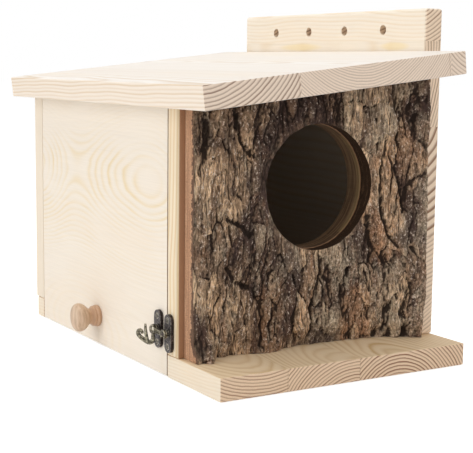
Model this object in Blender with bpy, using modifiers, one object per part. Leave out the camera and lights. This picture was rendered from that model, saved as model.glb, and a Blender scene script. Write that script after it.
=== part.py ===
# A squirrel house: pine boards, a slab of bark with a round entry on its front wall, and a side
# door that swings on two pins and is held by a hook latch. Metres, +Z up. +X is the back board,
# -X the door, -Y the bark face. The origin is the centre of the floor board's underside.

import math

import bmesh
import bpy
import numpy as np
from mathutils import Matrix, Vector, noise

# Whole house
WIDTH = 0.232
DEPTH = 0.350
BOARD = 0.018
GAP = 0.0003
EDGE_ROUND = 0.0008
EDGE_SEGMENTS = 2
OVERRUN = 0.012
MERGE = 0.00001

# Walls and entry
LEDGE = 0.064
REAR_STEP = 0.003
ENTRY_DIAMETER = 0.101
ENTRY_OFFSET = 0.0035
ENTRY_DROP = 0.0796
ENTRY_SIDES = 56

# Roof
ROOF_PITCH_DEGREES = 6.5
ROOF_HEIGHT = 0.2555
ROOF_FRONT_OVERHANG = 0.012
ROOF_DOOR_OVERHANG = 0.0235

# Back board
BACK_HEIGHT = 0.290
BACK_NEAR_OVERHANG = 0.024
BACK_STRIP_SHORT = 0.017
BACK_ROUND = 0.0022
BACK_SEGMENTS = 3
HANGING_HOLE_DIAMETER = 0.0085
HANGING_HOLE_DROP = 0.0165
HANGING_HOLES = 4
HANGING_HOLE_SIDES = 20

# Bark
BARK_SIDE_STEP = 0.005
BARK_THICKNESS = 0.033
BARK_LEAST_THICKNESS = 0.005
PLATE_RISE = 0.005
PLATE_BLEND = 0.0022
PLATE_STRETCH = 1.8
GROOVE_DEPTH = 0.006
GROOVE_WIDTH = 0.0045
BARK_WARP = 0.004
BARK_WARP_SIZE = 0.030
BARK_LUMP = 0.0016
BARK_LUMP_WIDTH = 0.011
BARK_LUMP_LENGTH = 0.026
BARK_FOOT_HEIGHT = 0.016
BARK_EDGE_SHARE = 0.06
BARK_EDGE_CALM_SHARE = 0.35
BARK_COLUMNS = 50
BARK_ROWS = 46

# The slab's share of its full thickness, by the share across
SWELL_SHARES = (
    (0.00, 0.39),
    (0.28, 0.42),
    (0.50, 0.37),
    (0.76, 0.36),
    (0.88, 0.58),
    (1.00, 1.00),
)

# How much of the slab's thickness is left along its broken foot, by the share across it
FOOT_SHARES = (
    (0.00, 1.6),
    (0.06, 1.3),
    (0.14, 0.6),
    (0.30, 1.1),
    (0.45, 0.55),
    (0.49, 0.35),
    (0.60, 0.65),
    (0.82, 0.6),
    (0.92, 0.25),
    (1.00, 0.4),
)

# Each bark plate: its place across and up the slab, and how proud it stands
PLATE_SHARES = (
    (0.04, 0.90, -0.1),
    (0.14, 0.92, 0.3),
    (0.28, 0.90, 0.2),
    (0.48, 0.94, 0.0),
    (0.66, 0.93, 0.3),
    (0.79, 0.86, 0.8),
    (0.97, 0.92, -0.2),
    (0.99, 0.83, 0.5),
    (0.09, 0.71, 0.7),
    (0.19, 0.67, 0.4),
    (0.89, 0.70, 0.6),
    (0.99, 0.56, 0.5),
    (0.05, 0.48, 0.4),
    (0.19, 0.42, 0.8),
    (0.83, 0.52, 0.7),
    (0.98, 0.42, 0.6),
    (0.07, 0.28, 0.3),
    (0.19, 0.15, -0.3),
    (0.30, 0.32, 0.6),
    (0.39, 0.22, 0.5),
    (0.48, 0.18, 0.2),
    (0.57, 0.22, -0.3),
    (0.60, 0.42, 0.3),
    (0.70, 0.17, 0.5),
    (0.80, 0.27, 0.5),
    (0.86, 0.22, 0.7),
    (0.98, 0.21, 1.5),
    (0.03, 0.08, 0.8),
)

# The deep grooves between plates, each a path of places across and up the slab
GROOVE_SHARES = (
    ((0.18, 0.94), (0.19, 0.86), (0.22, 0.79), (0.25, 0.76)),
    ((0.06, 0.92), (0.06, 0.85), (0.02, 0.73)),
    ((0.11, 0.83), (0.16, 0.73)),
    ((0.13, 0.55), (0.18, 0.52), (0.23, 0.46)),
    ((0.13, 0.20), (0.14, 0.35), (0.21, 0.28), (0.27, 0.20)),
    ((0.32, 0.30), (0.33, 0.10)),
    ((0.29, 0.20), (0.30, 0.00)),
    ((0.41, 0.30), (0.44, 0.16), (0.46, 0.02)),
    ((0.53, 0.35), (0.53, 0.24), (0.50, 0.15), (0.51, 0.03)),
    ((0.65, 0.29), (0.64, 0.23), (0.68, 0.03)),
    ((0.74, 0.25), (0.76, 0.12), (0.80, 0.04)),
    ((0.73, 0.48), (0.75, 0.39), (0.82, 0.30)),
    ((0.87, 0.17), (0.82, 0.05)),
    ((0.96, 0.26), (0.94, 0.20), (0.89, 0.10), (0.92, 0.04)),
    ((0.97, 0.89), (0.94, 0.81), (1.00, 0.73)),
    ((1.01, 0.68), (0.93, 0.61), (0.90, 0.52)),
    ((0.85, 0.65), (0.80, 0.75), (0.78, 0.56), (0.80, 0.46), (0.87, 0.36)),
    ((0.93, 0.35), (1.00, 0.30)),
)

# Door
DOOR_PLAY = 0.0009
DOOR_LIFT = 0.0005
DOOR_TOP_GAP = 0.003
HINGE_DROP = 0.020
PIN_DIAMETER = 0.005
PIN_HEAD_DIAMETER = 0.007
PIN_HEAD_HEIGHT = 0.0015
PIN_GRIP = 0.016
PIN_SIDES = 16

# Knob, as a turned outline from its crown down
KNOB_DIAMETER = 0.0245
KNOB_LENGTH = 0.0228
KNOB_FROM_PIN_SHARE = 0.51
KNOB_HEIGHT = 0.025
KNOB_SIDES = 28
KNOB_OUTLINE_SHARES = (
    (0.00, 1.000),
    (0.44, 0.992),
    (0.74, 0.962),
    (0.91, 0.905),
    (0.99, 0.825),
    (1.00, 0.745),
    (0.95, 0.655),
    (0.84, 0.560),
    (0.69, 0.480),
    (0.58, 0.410),
    (0.55, 0.345),
    (0.60, 0.285),
    (0.69, 0.245),
    (0.71, 0.205),
    (0.67, 0.165),
    (0.74, 0.130),
    (0.77, 0.075),
    (0.75, 0.000),
)

# Latch plate and keeper plate
LATCH_HEIGHT = 0.0368
KEEPER_DROP = 0.0007
KEEPER_MARGIN = 0.0003
LATCH_MARGIN = 0.0051
PLATE_WIDTH = 0.011
PLATE_LENGTH = 0.0305
PLATE_THICKNESS = 0.0028
PLATE_ROUND = 0.0009
BOSS_DIAMETER = 0.0070
BOSS_HEIGHT = 0.0016
PEG_DIAMETER = 0.0032
PEG_PROUD = 0.0010
SMALL_SIDES = 18

# Hook, its rivet and its curled tail
HOOK_THICKNESS = 0.0024
HOOK_ROUND = 0.0003
EYE_DIAMETER = 0.0080
RING_DIAMETER = 0.0072
RING_PLAY = 0.0004
ARM_AT_EYE_SHARE = 0.50
ARM_AT_RING_SHARE = 0.42
RIVET_DIAMETER = 0.0030
RIVET_HEAD_DIAMETER = 0.0070
RIVET_HEAD_HEIGHT = 0.0015
TAIL_SIZE = 0.010
TAIL_DIAMETER = 0.0042
SPUR_DIAMETER = 0.0029
TAIL_STEPS = 3
TAIL_START_SHARE = 0.76

# Each point of the tail and spur: towards the keeper, up, outward, and its thickness
TAIL_SHARES = (
    (0.00, -0.44, 0.05, 0.70),
    (0.02, -0.73, 0.03, 0.84),
    (-0.04, -0.96, 0.09, 0.92),
    (-0.17, -1.06, 0.27, 0.96),
    (-0.38, -0.96, 0.48, 0.94),
    (-0.68, -0.72, 0.76, 0.86),
    (-0.85, -0.48, 0.90, 0.80),
    (-0.87, -0.27, 0.91, 0.76),
    (-0.79, -0.15, 0.79, 0.72),
    (-0.69, -0.26, 0.66, 0.64),
    (-0.68, -0.44, 0.64, 0.52),
)
SPUR_SHARES = (
    (-0.27, -1.01, 0.38, 1.00),
    (-0.37, -0.60, 0.43, 1.00),
    (-0.43, -0.16, 0.47, 0.90),
    (-0.47, 0.40, 0.48, 0.62),
)

# Screws
SCREW_DIAMETER = 0.004
SCREW_HEAD_DIAMETER = 0.008
SCREW_LENGTH = 0.040
BARK_SCREW_BITE_SHARE = 0.8
KNOB_SCREW_LENGTH = 0.030
SMALL_SCREW_DIAMETER = 0.0022
SMALL_SCREW_HEAD_DIAMETER = 0.0044
SMALL_SCREW_LENGTH = 0.010
SMALL_SCREW_INSET = 0.0048
SCREW_SIDES = 10
SINK = 0.0003
FLOOR_SCREW_SHARES = (0.25, 0.75)
BACK_FLOOR_SCREW_SHARES = (0.15, 0.5, 0.85)
ROOF_SCREW_SHARES = (0.08, 0.5, 0.92)
WALL_SCREW_SHARES = (0.25, 0.75)
BARK_SCREW_SHARES = ((0.17, 0.18), (0.17, 0.88), (0.85, 0.18), (0.85, 0.88))

# Places worked out from the sizes
LEFT = -WIDTH / 2
RIGHT = WIDTH / 2
FRONT = -DEPTH / 2
REAR = DEPTH / 2
WALL_FACE = FRONT + LEDGE
WALL_BACK = WALL_FACE + BOARD
REAR_FACE = REAR + REAR_STEP
REAR_INNER = REAR_FACE - BOARD
BACK_INNER = RIGHT - BOARD
BACK_NEAR = WALL_FACE - BACK_NEAR_OVERHANG
BACK_FAR = REAR_INNER - GAP
STRIP_FAR = REAR_INNER - BACK_STRIP_SHORT
PITCH = math.radians(ROOF_PITCH_DEGREES)
ROOF_EDGE = BACK_INNER - GAP
WALL_FOOT = BOARD + GAP
DOOR_NEAR = WALL_BACK + DOOR_PLAY
DOOR_FAR = REAR_INNER - DOOR_PLAY
DOOR_INNER = LEFT + BOARD
LATCH_Y = DOOR_NEAR + LATCH_MARGIN + PLATE_WIDTH / 2
KEEPER_Y = WALL_BACK - KEEPER_MARGIN - PLATE_WIDTH / 2
KEEPER_HEIGHT = LATCH_HEIGHT - KEEPER_DROP
HOOK_REACH = LATCH_Y - KEEPER_Y
PLATE_FRONT = GAP + PLATE_THICKNESS
HOOK_MIDDLE = PLATE_FRONT + BOSS_HEIGHT + GAP + HOOK_THICKNESS / 2
HOOK_FRONT = HOOK_MIDDLE + HOOK_THICKNESS / 2

# The side face's own axes: local X runs towards the front, local Y up and local Z outward
SIDE_TURN = Matrix(((0, 0, -1), (-1, 0, 0), (0, 1, 0)))


def roof_underside(x):
    return ROOF_HEIGHT - BOARD * math.cos(PITCH) - (ROOF_EDGE - x) * math.tan(PITCH)


DOOR_TOP = roof_underside(LEFT) - DOOR_TOP_GAP
HINGE_X = LEFT + BOARD / 2
HINGE_HEIGHT = DOOR_TOP - HINGE_DROP


def clear_objects():
    for thing in list(bpy.data.objects):
        bpy.data.objects.remove(thing)


def new_collection(name):
    collection = bpy.data.collections.new(name)
    bpy.context.scene.collection.children.link(collection)
    return collection


clear_objects()
HOUSE = new_collection("squirrel_house")
CUTTERS = new_collection("cutters")


def new_material(name, colour, roughness, metallic=0.0):
    material = bpy.data.materials.new(name)
    material.use_nodes = True
    shader = material.node_tree.nodes["Principled BSDF"]
    shader.inputs["Base Color"].default_value = (*colour, 1.0)
    shader.inputs["Roughness"].default_value = roughness
    shader.inputs["Metallic"].default_value = metallic
    return material


PINE = new_material("pine", (0.86, 0.72, 0.52), 0.62)
BARK = new_material("bark", (0.13, 0.10, 0.08), 0.95)
HARDWOOD = new_material("hardwood", (0.88, 0.68, 0.45), 0.45)
BRONZE = new_material("dark_bronze", (0.10, 0.08, 0.07), 0.38, 0.9)
STEEL = new_material("zinc_steel", (0.62, 0.62, 0.60), 0.35, 1.0)


def add_object(name, data, material):
    thing = bpy.data.objects.new(name, data)
    HOUSE.objects.link(thing)
    if material:
        data.materials.append(material)
    return thing


def make_cutter(thing):
    HOUSE.objects.unlink(thing)
    CUTTERS.objects.link(thing)
    thing.hide_render = True
    thing.display_type = "WIRE"
    return thing


def combine(thing, tool, operation):
    step = thing.modifiers.new(tool.name, "BOOLEAN")
    step.operation = operation
    step.solver = "EXACT"
    step.object = tool


def round_edges(thing, width, segments):
    step = thing.modifiers.new("rounded_edges", "BEVEL")
    step.width = width
    step.segments = segments


def smooth(thing):
    thing.data.shade_smooth()
    thing.data.set_sharp_from_angle(angle=math.radians(40))


def aim(direction):
    return Vector(direction).to_track_quat("Z", "Y").to_matrix()


def place(thing, where, turn=None):
    turn = turn or Matrix.Identity(3)
    thing.matrix_world = Matrix.Translation(where) @ turn.to_4x4()


# A box between two corners, whose top can follow the roof's slope
def box(name, low, high, material, top=None):
    middle = [(a + b) / 2 for a, b in zip(low, high)]
    shape = bmesh.new()
    bmesh.ops.create_cube(shape, size=1)
    for vertex in shape.verts:
        corner = [b if share > 0 else a for share, a, b in zip(vertex.co, low, high)]
        if top and vertex.co.z > 0:
            corner[2] = top(corner[0])
        vertex.co = [value - centre for value, centre in zip(corner, middle)]
    mesh = bpy.data.meshes.new(name)
    shape.to_mesh(mesh)
    shape.free()
    thing = add_object(name, mesh, material)
    place(thing, middle)
    return thing


# A turned shape, from a profile of radius and height pairs that runs down its outer side
def turned(name, profile, sides, material, where, turn):
    mesh = bpy.data.meshes.new(name)
    points = [(radius, 0, height) for radius, height in profile]
    mesh.from_pydata(points, [(i, i + 1) for i in range(len(points) - 1)], [])
    thing = add_object(name, mesh, material)
    spin = thing.modifiers.new("turned", "SCREW")
    spin.steps = sides
    spin.render_steps = sides
    spin.use_merge_vertices = True
    spin.merge_threshold = MERGE
    spin.use_smooth_shade = True
    place(thing, where, turn)
    return thing


def hole_cutter(name, radius, start, end, sides, where, turn):
    profile = ((0, end), (radius, end), (radius, start), (0, start))
    return make_cutter(turned(name, profile, sides, None, where, turn))


# Points on a smooth curve through the given ones
def smooth_points(points, steps):
    rows = [np.array(point, float) for point in points]
    rows = [2 * rows[0] - rows[1], *rows, 2 * rows[-1] - rows[-2]]
    result = []
    for a, b, c, d in zip(rows, rows[1:], rows[2:], rows[3:]):
        for t in np.arange(steps) / steps:
            bend = 2 * b + (c - a) * t
            bend += (2 * a - 5 * b + 4 * c - d) * t**2
            bend += (3 * b - a - 3 * c + d) * t**3
            result.append(bend / 2)
    return [*result, rows[-2]]


def arc_points(centre, radius, start, end, steps):
    turns = [start + (end - start) * i / steps for i in range(steps + 1)]
    return [(centre[0] + radius * math.cos(a), centre[1] + radius * math.sin(a)) for a in turns]


# A curve made into a closed mesh that can be cut and joined
def mesh_from_curve(name, curve, material, where, turn):
    guide = bpy.data.objects.new(name + "_curve", curve)
    HOUSE.objects.link(guide)
    place(guide, where, turn)
    bpy.context.view_layer.update()
    evaluated = guide.evaluated_get(bpy.context.evaluated_depsgraph_get())
    mesh = bpy.data.meshes.new_from_object(evaluated)
    shape = bmesh.new()
    shape.from_mesh(mesh)
    bmesh.ops.remove_doubles(shape, verts=shape.verts, dist=MERGE)
    shape.to_mesh(mesh)
    shape.free()
    mesh.materials.clear()
    thing = add_object(name, mesh, material)
    thing.matrix_world = guide.matrix_world.copy()
    bpy.data.objects.remove(guide)
    bpy.data.curves.remove(curve)
    return thing


# A flat plate from closed outlines; those after the first are holes in it
def flat_plate(name, outlines, thickness, material, where, turn):
    curve = bpy.data.curves.new(name, "CURVE")
    curve.dimensions = "2D"
    curve.fill_mode = "BOTH"
    curve.extrude = thickness / 2
    for outline in outlines:
        spline = curve.splines.new("POLY")
        spline.points.add(len(outline) - 1)
        spline.use_cyclic_u = True
        for point, (x, y) in zip(spline.points, outline):
            point.co = (x, y, 0, 1)
    return mesh_from_curve(name, curve, material, where, turn)


# A tapered rod through points that each carry their own thickness
def rod(name, points, diameter, where, turn):
    curve = bpy.data.curves.new(name, "CURVE")
    curve.dimensions = "3D"
    curve.bevel_depth = diameter / 2
    curve.bevel_resolution = 2
    curve.use_fill_caps = True
    spline = curve.splines.new("POLY")
    spline.points.add(len(points) - 1)
    for point, (x, y, z, thickness) in zip(spline.points, points):
        point.co = (x, y, z, 1)
        point.radius = thickness
    return mesh_from_curve(name, curve, None, where, turn)


# A countersunk wood screw, its head flush, and the cutter for its hole in the pieces it joins
def screw(name, where, direction, length, holds, sizes=(SCREW_DIAMETER, SCREW_HEAD_DIAMETER), finish=STEEL):
    diameter, head = sizes
    shank, rim = diameter / 2, head / 2
    cone = rim - shank
    tip = -SINK - length
    profile = (
        (0, -SINK),
        (rim, -SINK),
        (shank, -SINK - cone),
        (shank, tip + diameter),
        (0, tip),
    )
    grown = (
        (0, OVERRUN),
        (rim + GAP, OVERRUN),
        (rim + GAP, -SINK),
        (shank + GAP, -SINK - cone),
        (shank + GAP, tip + diameter),
        (shank / 2, tip - GAP),
        (0, tip - GAP),
    )
    turn = aim(direction)
    thing = turned(name, profile, SCREW_SIDES, finish, where, turn)
    cutter = make_cutter(turned(name + "_hole", grown, SCREW_SIDES, None, where, turn))
    for piece in holds:
        combine(piece, cutter, "DIFFERENCE")
    return thing


def between(low, high, share):
    return low + (high - low) * share


def make_floor():
    floor = box("floor_board", (LEFT, FRONT, 0), (RIGHT, REAR, BOARD), PINE)
    low = (LEFT - OVERRUN, WALL_BACK, -OVERRUN)
    high = (DOOR_INNER + GAP, REAR_INNER, BOARD + OVERRUN)
    combine(floor, make_cutter(box("door_rebate", low, high, None)), "DIFFERENCE")
    round_edges(floor, EDGE_ROUND, EDGE_SEGMENTS)
    return floor


def wall_top(x):
    return roof_underside(x) - GAP


def make_wall(name, near, far, right):
    low = (LEFT, near, WALL_FOOT)
    high = (right, far, wall_top(right))
    wall = box(name, low, high, PINE, wall_top)
    round_edges(wall, EDGE_ROUND, EDGE_SEGMENTS)
    return wall


def make_roof():
    right = ROOF_EDGE - BOARD * math.sin(PITCH)
    left = LEFT - ROOF_DOOR_OVERHANG
    length = (right - left) / math.cos(PITCH)
    front = FRONT - ROOF_FRONT_OVERHANG
    depth = REAR_FACE - front
    roof = box("roof_board", (-length, -depth / 2, -BOARD), (0, depth / 2, 0), PINE)
    round_edges(roof, EDGE_ROUND, EDGE_SEGMENTS)
    turn = Matrix.Rotation(-PITCH, 3, "Y")
    corner = Vector((right, (front + REAR_FACE) / 2, ROOF_HEIGHT))
    place(roof, corner + turn @ Vector((-length / 2, 0, -BOARD / 2)), turn)
    return roof


# The back board ends short of the rear wall above the roof, and has a row of hanging holes
def make_back_board():
    back = box("back_board", (BACK_INNER, BACK_NEAR, WALL_FOOT), (RIGHT, BACK_FAR, BACK_HEIGHT), PINE)
    low = (BACK_INNER - OVERRUN, STRIP_FAR, ROOF_HEIGHT)
    high = (RIGHT + OVERRUN, BACK_FAR + OVERRUN, BACK_HEIGHT + OVERRUN)
    combine(back, make_cutter(box("strip_end", low, high, None)), "DIFFERENCE")
    round_edges(back, BACK_ROUND, BACK_SEGMENTS)
    height = BACK_HEIGHT - HANGING_HOLE_DROP
    radius = HANGING_HOLE_DIAMETER / 2
    for number in range(1, HANGING_HOLES + 1):
        y = between(BACK_NEAR, STRIP_FAR, number / (HANGING_HOLES + 1))
        where = (RIGHT, y, height)
        name = f"hanging_hole_{number}"
        start, end = -BOARD - OVERRUN, OVERRUN
        cutter = hole_cutter(name, radius, start, end, HANGING_HOLE_SIDES, where, aim((1, 0, 0)))
        combine(back, cutter, "DIFFERENCE")
    return back


def cut_entry(pieces):
    where = (ENTRY_OFFSET, WALL_FACE, roof_underside(0) - ENTRY_DROP)
    start = -BOARD - OVERRUN
    end = BARK_THICKNESS + PLATE_RISE + OVERRUN
    radius = ENTRY_DIAMETER / 2
    cutter = hole_cutter("entry_hole", radius, start, end, ENTRY_SIDES, where, aim((0, -1, 0)))
    for piece in pieces:
        combine(piece, cutter, "DIFFERENCE")


def ease(value):
    value = min(max(value, 0), 1)
    return value * value * (3 - 2 * value)


def path_distance(spot, path):
    starts, ends = path[:-1], path[1:]
    runs = ends - starts
    along = np.clip(((spot - starts) * runs).sum(1) / (runs * runs).sum(1), 0, 1)
    return np.hypot(*(spot - starts - runs * along[:, None]).T).min()


# The bark's thickness at a place: a swelling slab of raised plates, with grooves between them
def bark_thickness(x, z, across, plates, grooves):
    slab = BARK_THICKNESS * np.interp(across, *zip(*SWELL_SHARES))
    where = Vector((x / BARK_WARP_SIZE, z / BARK_WARP_SIZE / PLATE_STRETCH, 0))
    warp = BARK_WARP * np.array((noise.noise(where), noise.noise(where + Vector((0, 0, 1)))))
    spot = np.array((x, z)) + warp
    away = (spot - plates[:, :2]) / (1, PLATE_STRETCH)
    distances = np.hypot(away[:, 0], away[:, 1])
    weights = np.exp((distances.min() - distances) / PLATE_BLEND)
    rise = PLATE_RISE * (weights @ plates[:, 2]) / weights.sum()
    nearest = min(path_distance(spot, path) for path in grooves)
    groove = GROOVE_DEPTH * math.exp(-((nearest / GROOVE_WIDTH) ** 2))
    lump = BARK_LUMP * noise.noise(Vector((x / BARK_LUMP_WIDTH, z / BARK_LUMP_LENGTH, 0)))
    up = (z - WALL_FOOT) / BARK_FOOT_HEIGHT
    foot = between(np.interp(across, *zip(*FOOT_SHARES)), 1, ease(up))
    calm = between(BARK_EDGE_CALM_SHARE, 1, ease(min(across, 1 - across) / BARK_EDGE_SHARE))
    return max((slab + (rise + lump - groove) * calm) * foot, BARK_LEAST_THICKNESS)


def make_bark():
    left, right = LEFT + BARK_SIDE_STEP, ROOF_EDGE

    def spot(across, up):
        x = between(left, right, across)
        return x, between(WALL_FOOT, wall_top(x), up)

    plates = np.array([(*spot(across, up), rise) for across, up, rise in PLATE_SHARES])
    grooves = [np.array([spot(*point) for point in path]) for path in GROOVE_SHARES]
    back = WALL_FACE - GAP
    shape = bmesh.new()
    bmesh.ops.create_grid(shape, x_segments=BARK_COLUMNS, y_segments=BARK_ROWS, size=1)
    for vertex in shape.verts:
        across = (vertex.co.x + 1) / 2
        x, z = spot(across, (vertex.co.y + 1) / 2)
        vertex.co = (x, back - bark_thickness(x, z, across, plates, grooves), z)
    rim = [edge for edge in shape.edges if edge.is_boundary]
    sides = bmesh.ops.extrude_edge_only(shape, edges=rim)["geom"]
    for item in sides:
        if isinstance(item, bmesh.types.BMVert):
            item.co.y = back
    bmesh.ops.holes_fill(shape, edges=[edge for edge in shape.edges if edge.is_boundary], sides=0)
    bmesh.ops.recalc_face_normals(shape, faces=shape.faces)
    bmesh.ops.triangulate(shape, faces=shape.faces[:], quad_method="SHORT_EDGE")
    mesh = bpy.data.meshes.new("bark_slab")
    shape.to_mesh(mesh)
    shape.free()
    return add_object("bark_slab", mesh, BARK)


# A pin from a wall's outer face into the door's edge, its head flush with the wall
def pivot_pin(name, y, direction, holds):
    radius, rim = PIN_DIAMETER / 2, PIN_HEAD_DIAMETER / 2
    under = -SINK - PIN_HEAD_HEIGHT
    end = -BOARD - GAP - PIN_GRIP
    profile = (
        (0, -SINK),
        (rim, -SINK),
        (rim, under),
        (radius, under),
        (radius, end),
        (0, end),
    )
    grown = (
        (0, OVERRUN),
        (rim + GAP, OVERRUN),
        (rim + GAP, under - GAP),
        (radius + GAP, under - GAP),
        (radius + GAP, end - GAP),
        (0, end - GAP),
    )
    where = (HINGE_X, y, HINGE_HEIGHT)
    turn = aim(direction)
    pin = turned(name, profile, PIN_SIDES, STEEL, where, turn)
    cutter = make_cutter(turned(name + "_hole", grown, PIN_SIDES, None, where, turn))
    for piece in holds:
        combine(piece, cutter, "DIFFERENCE")
    return pin


def on_side(y, z, outward):
    return Vector((LEFT - outward, y, z))


def make_knob(y):
    profile = [(r * KNOB_DIAMETER / 2, h * KNOB_LENGTH) for r, h in KNOB_OUTLINE_SHARES]
    profile.append((0, 0))
    knob = turned("door_knob", profile, KNOB_SIDES, HARDWOOD, on_side(y, KNOB_HEIGHT, GAP), SIDE_TURN)
    return knob


def stadium(width, length):
    radius = width / 2
    straight = length / 2 - radius
    top = arc_points((0, straight), radius, 0, math.pi, SMALL_SIDES // 2)
    bottom = arc_points((0, -straight), radius, math.pi, 2 * math.pi, SMALL_SIDES // 2)
    return top + bottom


# A round ended plate on the side face, with a turned boss or peg joined on it
def side_plate(name, y, z, boss):
    middle = GAP + PLATE_THICKNESS / 2
    outline = stadium(PLATE_WIDTH, PLATE_LENGTH)
    plate = flat_plate(name, [outline], PLATE_THICKNESS, BRONZE, on_side(y, z, middle), SIDE_TURN)
    round_edges(plate, PLATE_ROUND, EDGE_SEGMENTS)
    raised = turned(name + "_boss", boss, SMALL_SIDES, None, on_side(y, z, middle), SIDE_TURN)
    combine(plate, make_cutter(raised), "UNION")
    return plate


def plate_screws(name, plate, y, z, board):
    offset = PLATE_LENGTH / 2 - SMALL_SCREW_INSET
    screws = []
    for number, side in enumerate((1, -1), 1):
        where = on_side(y, z + side * offset, PLATE_FRONT)
        sizes = (SMALL_SCREW_DIAMETER, SMALL_SCREW_HEAD_DIAMETER)
        label, length = f"{name}_{number}", SMALL_SCREW_LENGTH
        screws.append(screw(label, where, (-1, 0, 0), length, (plate, board), sizes, BRONZE))
    return screws


def make_latch_plate():
    radius = BOSS_DIAMETER / 2
    top = PLATE_THICKNESS / 2 + BOSS_HEIGHT
    boss = ((0, top), (radius, top), (radius, 0), (0, 0))
    plate = side_plate("latch_plate", LATCH_Y, LATCH_HEIGHT, boss)
    bore = RIVET_DIAMETER / 2 + GAP
    where = on_side(LATCH_Y, LATCH_HEIGHT, 0)
    cutter = hole_cutter("rivet_hole", bore, -GAP, HOOK_FRONT, SMALL_SIDES, where, SIDE_TURN)
    combine(plate, cutter, "DIFFERENCE")
    return plate


# The peg has a low collar and a domed end that reaches just past the hook
def make_keeper():
    radius = PEG_DIAMETER / 2
    middle = GAP + PLATE_THICKNESS / 2
    end = HOOK_FRONT + PEG_PROUD - middle
    collar = PLATE_THICKNESS / 2 + BOSS_HEIGHT / 2
    dome = [(x, y) for x, y in arc_points((0, end - radius), radius, math.pi / 2, 0, 4)]
    dome[0] = (0, end)
    boss = [*dome, (radius, collar + radius / 2), (radius * 2, collar), (radius * 2, 0), (0, 0)]
    return side_plate("keeper_plate", KEEPER_Y, KEEPER_HEIGHT, boss)


def make_rivet():
    radius, rim = RIVET_DIAMETER / 2, RIVET_HEAD_DIAMETER / 2
    under = HOOK_FRONT + GAP
    head = arc_points((0, 0), 1, math.pi / 2, 0, 5)
    head = [(x * rim, under + y * RIVET_HEAD_HEIGHT) for x, y in head]
    head[0] = (0, under + RIVET_HEAD_HEIGHT)
    profile = [*head, (radius, under), (radius, GAP + GAP), (0, GAP + GAP)]
    return turned("latch_rivet", profile, SMALL_SIDES, BRONZE, on_side(LATCH_Y, LATCH_HEIGHT, 0), SIDE_TURN)


# The hook's flat outline: an eye, a tapering arm, and a ring that opens downward along its swing
def hook_outline():
    eye, ring = EYE_DIAMETER / 2, RING_DIAMETER / 2
    inner = PEG_DIAMETER / 2 + RING_PLAY
    centre = (HOOK_REACH, -KEEPER_DROP)
    tilt = math.atan2(ring, HOOK_REACH)
    lean = math.atan2(-KEEPER_DROP, HOOK_REACH)
    arm_eye = math.asin(ARM_AT_EYE_SHARE)
    arm_ring = math.asin(ARM_AT_RING_SHARE)
    lip = math.asin(inner / ring)
    down = -math.pi / 2 - tilt / 2
    steps = SMALL_SIDES // 3
    outline = arc_points((0, 0), eye, lean + arm_eye, lean - arm_eye + 2 * math.pi, 2 * steps)
    left = down - lip
    outline += arc_points(centre, ring, lean - math.pi + arm_ring, left, 2)
    outline += arc_points(centre, inner, down - math.pi / 2, down - 3 * math.pi / 2, 2 * steps)
    outline += arc_points(centre, ring, down + lip, lean + math.pi - arm_ring, 2 * steps)
    return outline


def tail_points(shares):
    points = []
    for forward, up, outward, thickness in smooth_points(shares, TAIL_STEPS):
        points.append((forward * TAIL_SIZE, up * TAIL_SIZE, outward * TAIL_SIZE, thickness))
    return points


def make_hook():
    bore = RIVET_DIAMETER / 2 + GAP
    hole = arc_points((0, 0), bore, 0, 2 * math.pi, SMALL_SIDES)[:-1]
    where = on_side(LATCH_Y, LATCH_HEIGHT, HOOK_MIDDLE)
    hook = flat_plate("latch_hook", [hook_outline(), hole], HOOK_THICKNESS, BRONZE, where, SIDE_TURN)
    round_edges(hook, HOOK_ROUND, 1)
    root = (0, -EYE_DIAMETER / 2 * TAIL_START_SHARE / TAIL_SIZE, 0, TAIL_SHARES[0][3] * TAIL_START_SHARE)
    tail = rod("hook_tail", tail_points((root, *TAIL_SHARES)), TAIL_DIAMETER, where, SIDE_TURN)
    spur = rod("hook_spur", tail_points(SPUR_SHARES), SPUR_DIAMETER, where, SIDE_TURN)
    combine(hook, make_cutter(tail), "UNION")
    combine(hook, make_cutter(spur), "UNION")
    return hook


def make_pivot(name, where):
    pivot = bpy.data.objects.new(name, None)
    HOUSE.objects.link(pivot)
    pivot.empty_display_size = BOARD
    pivot.location = where
    return pivot


def attach(pivot, pieces):
    bpy.context.view_layer.update()
    for piece in pieces:
        kept = piece.matrix_world.copy()
        piece.parent = pivot
        piece.matrix_parent_inverse = pivot.matrix_world.inverted()
        piece.matrix_world = kept


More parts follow.
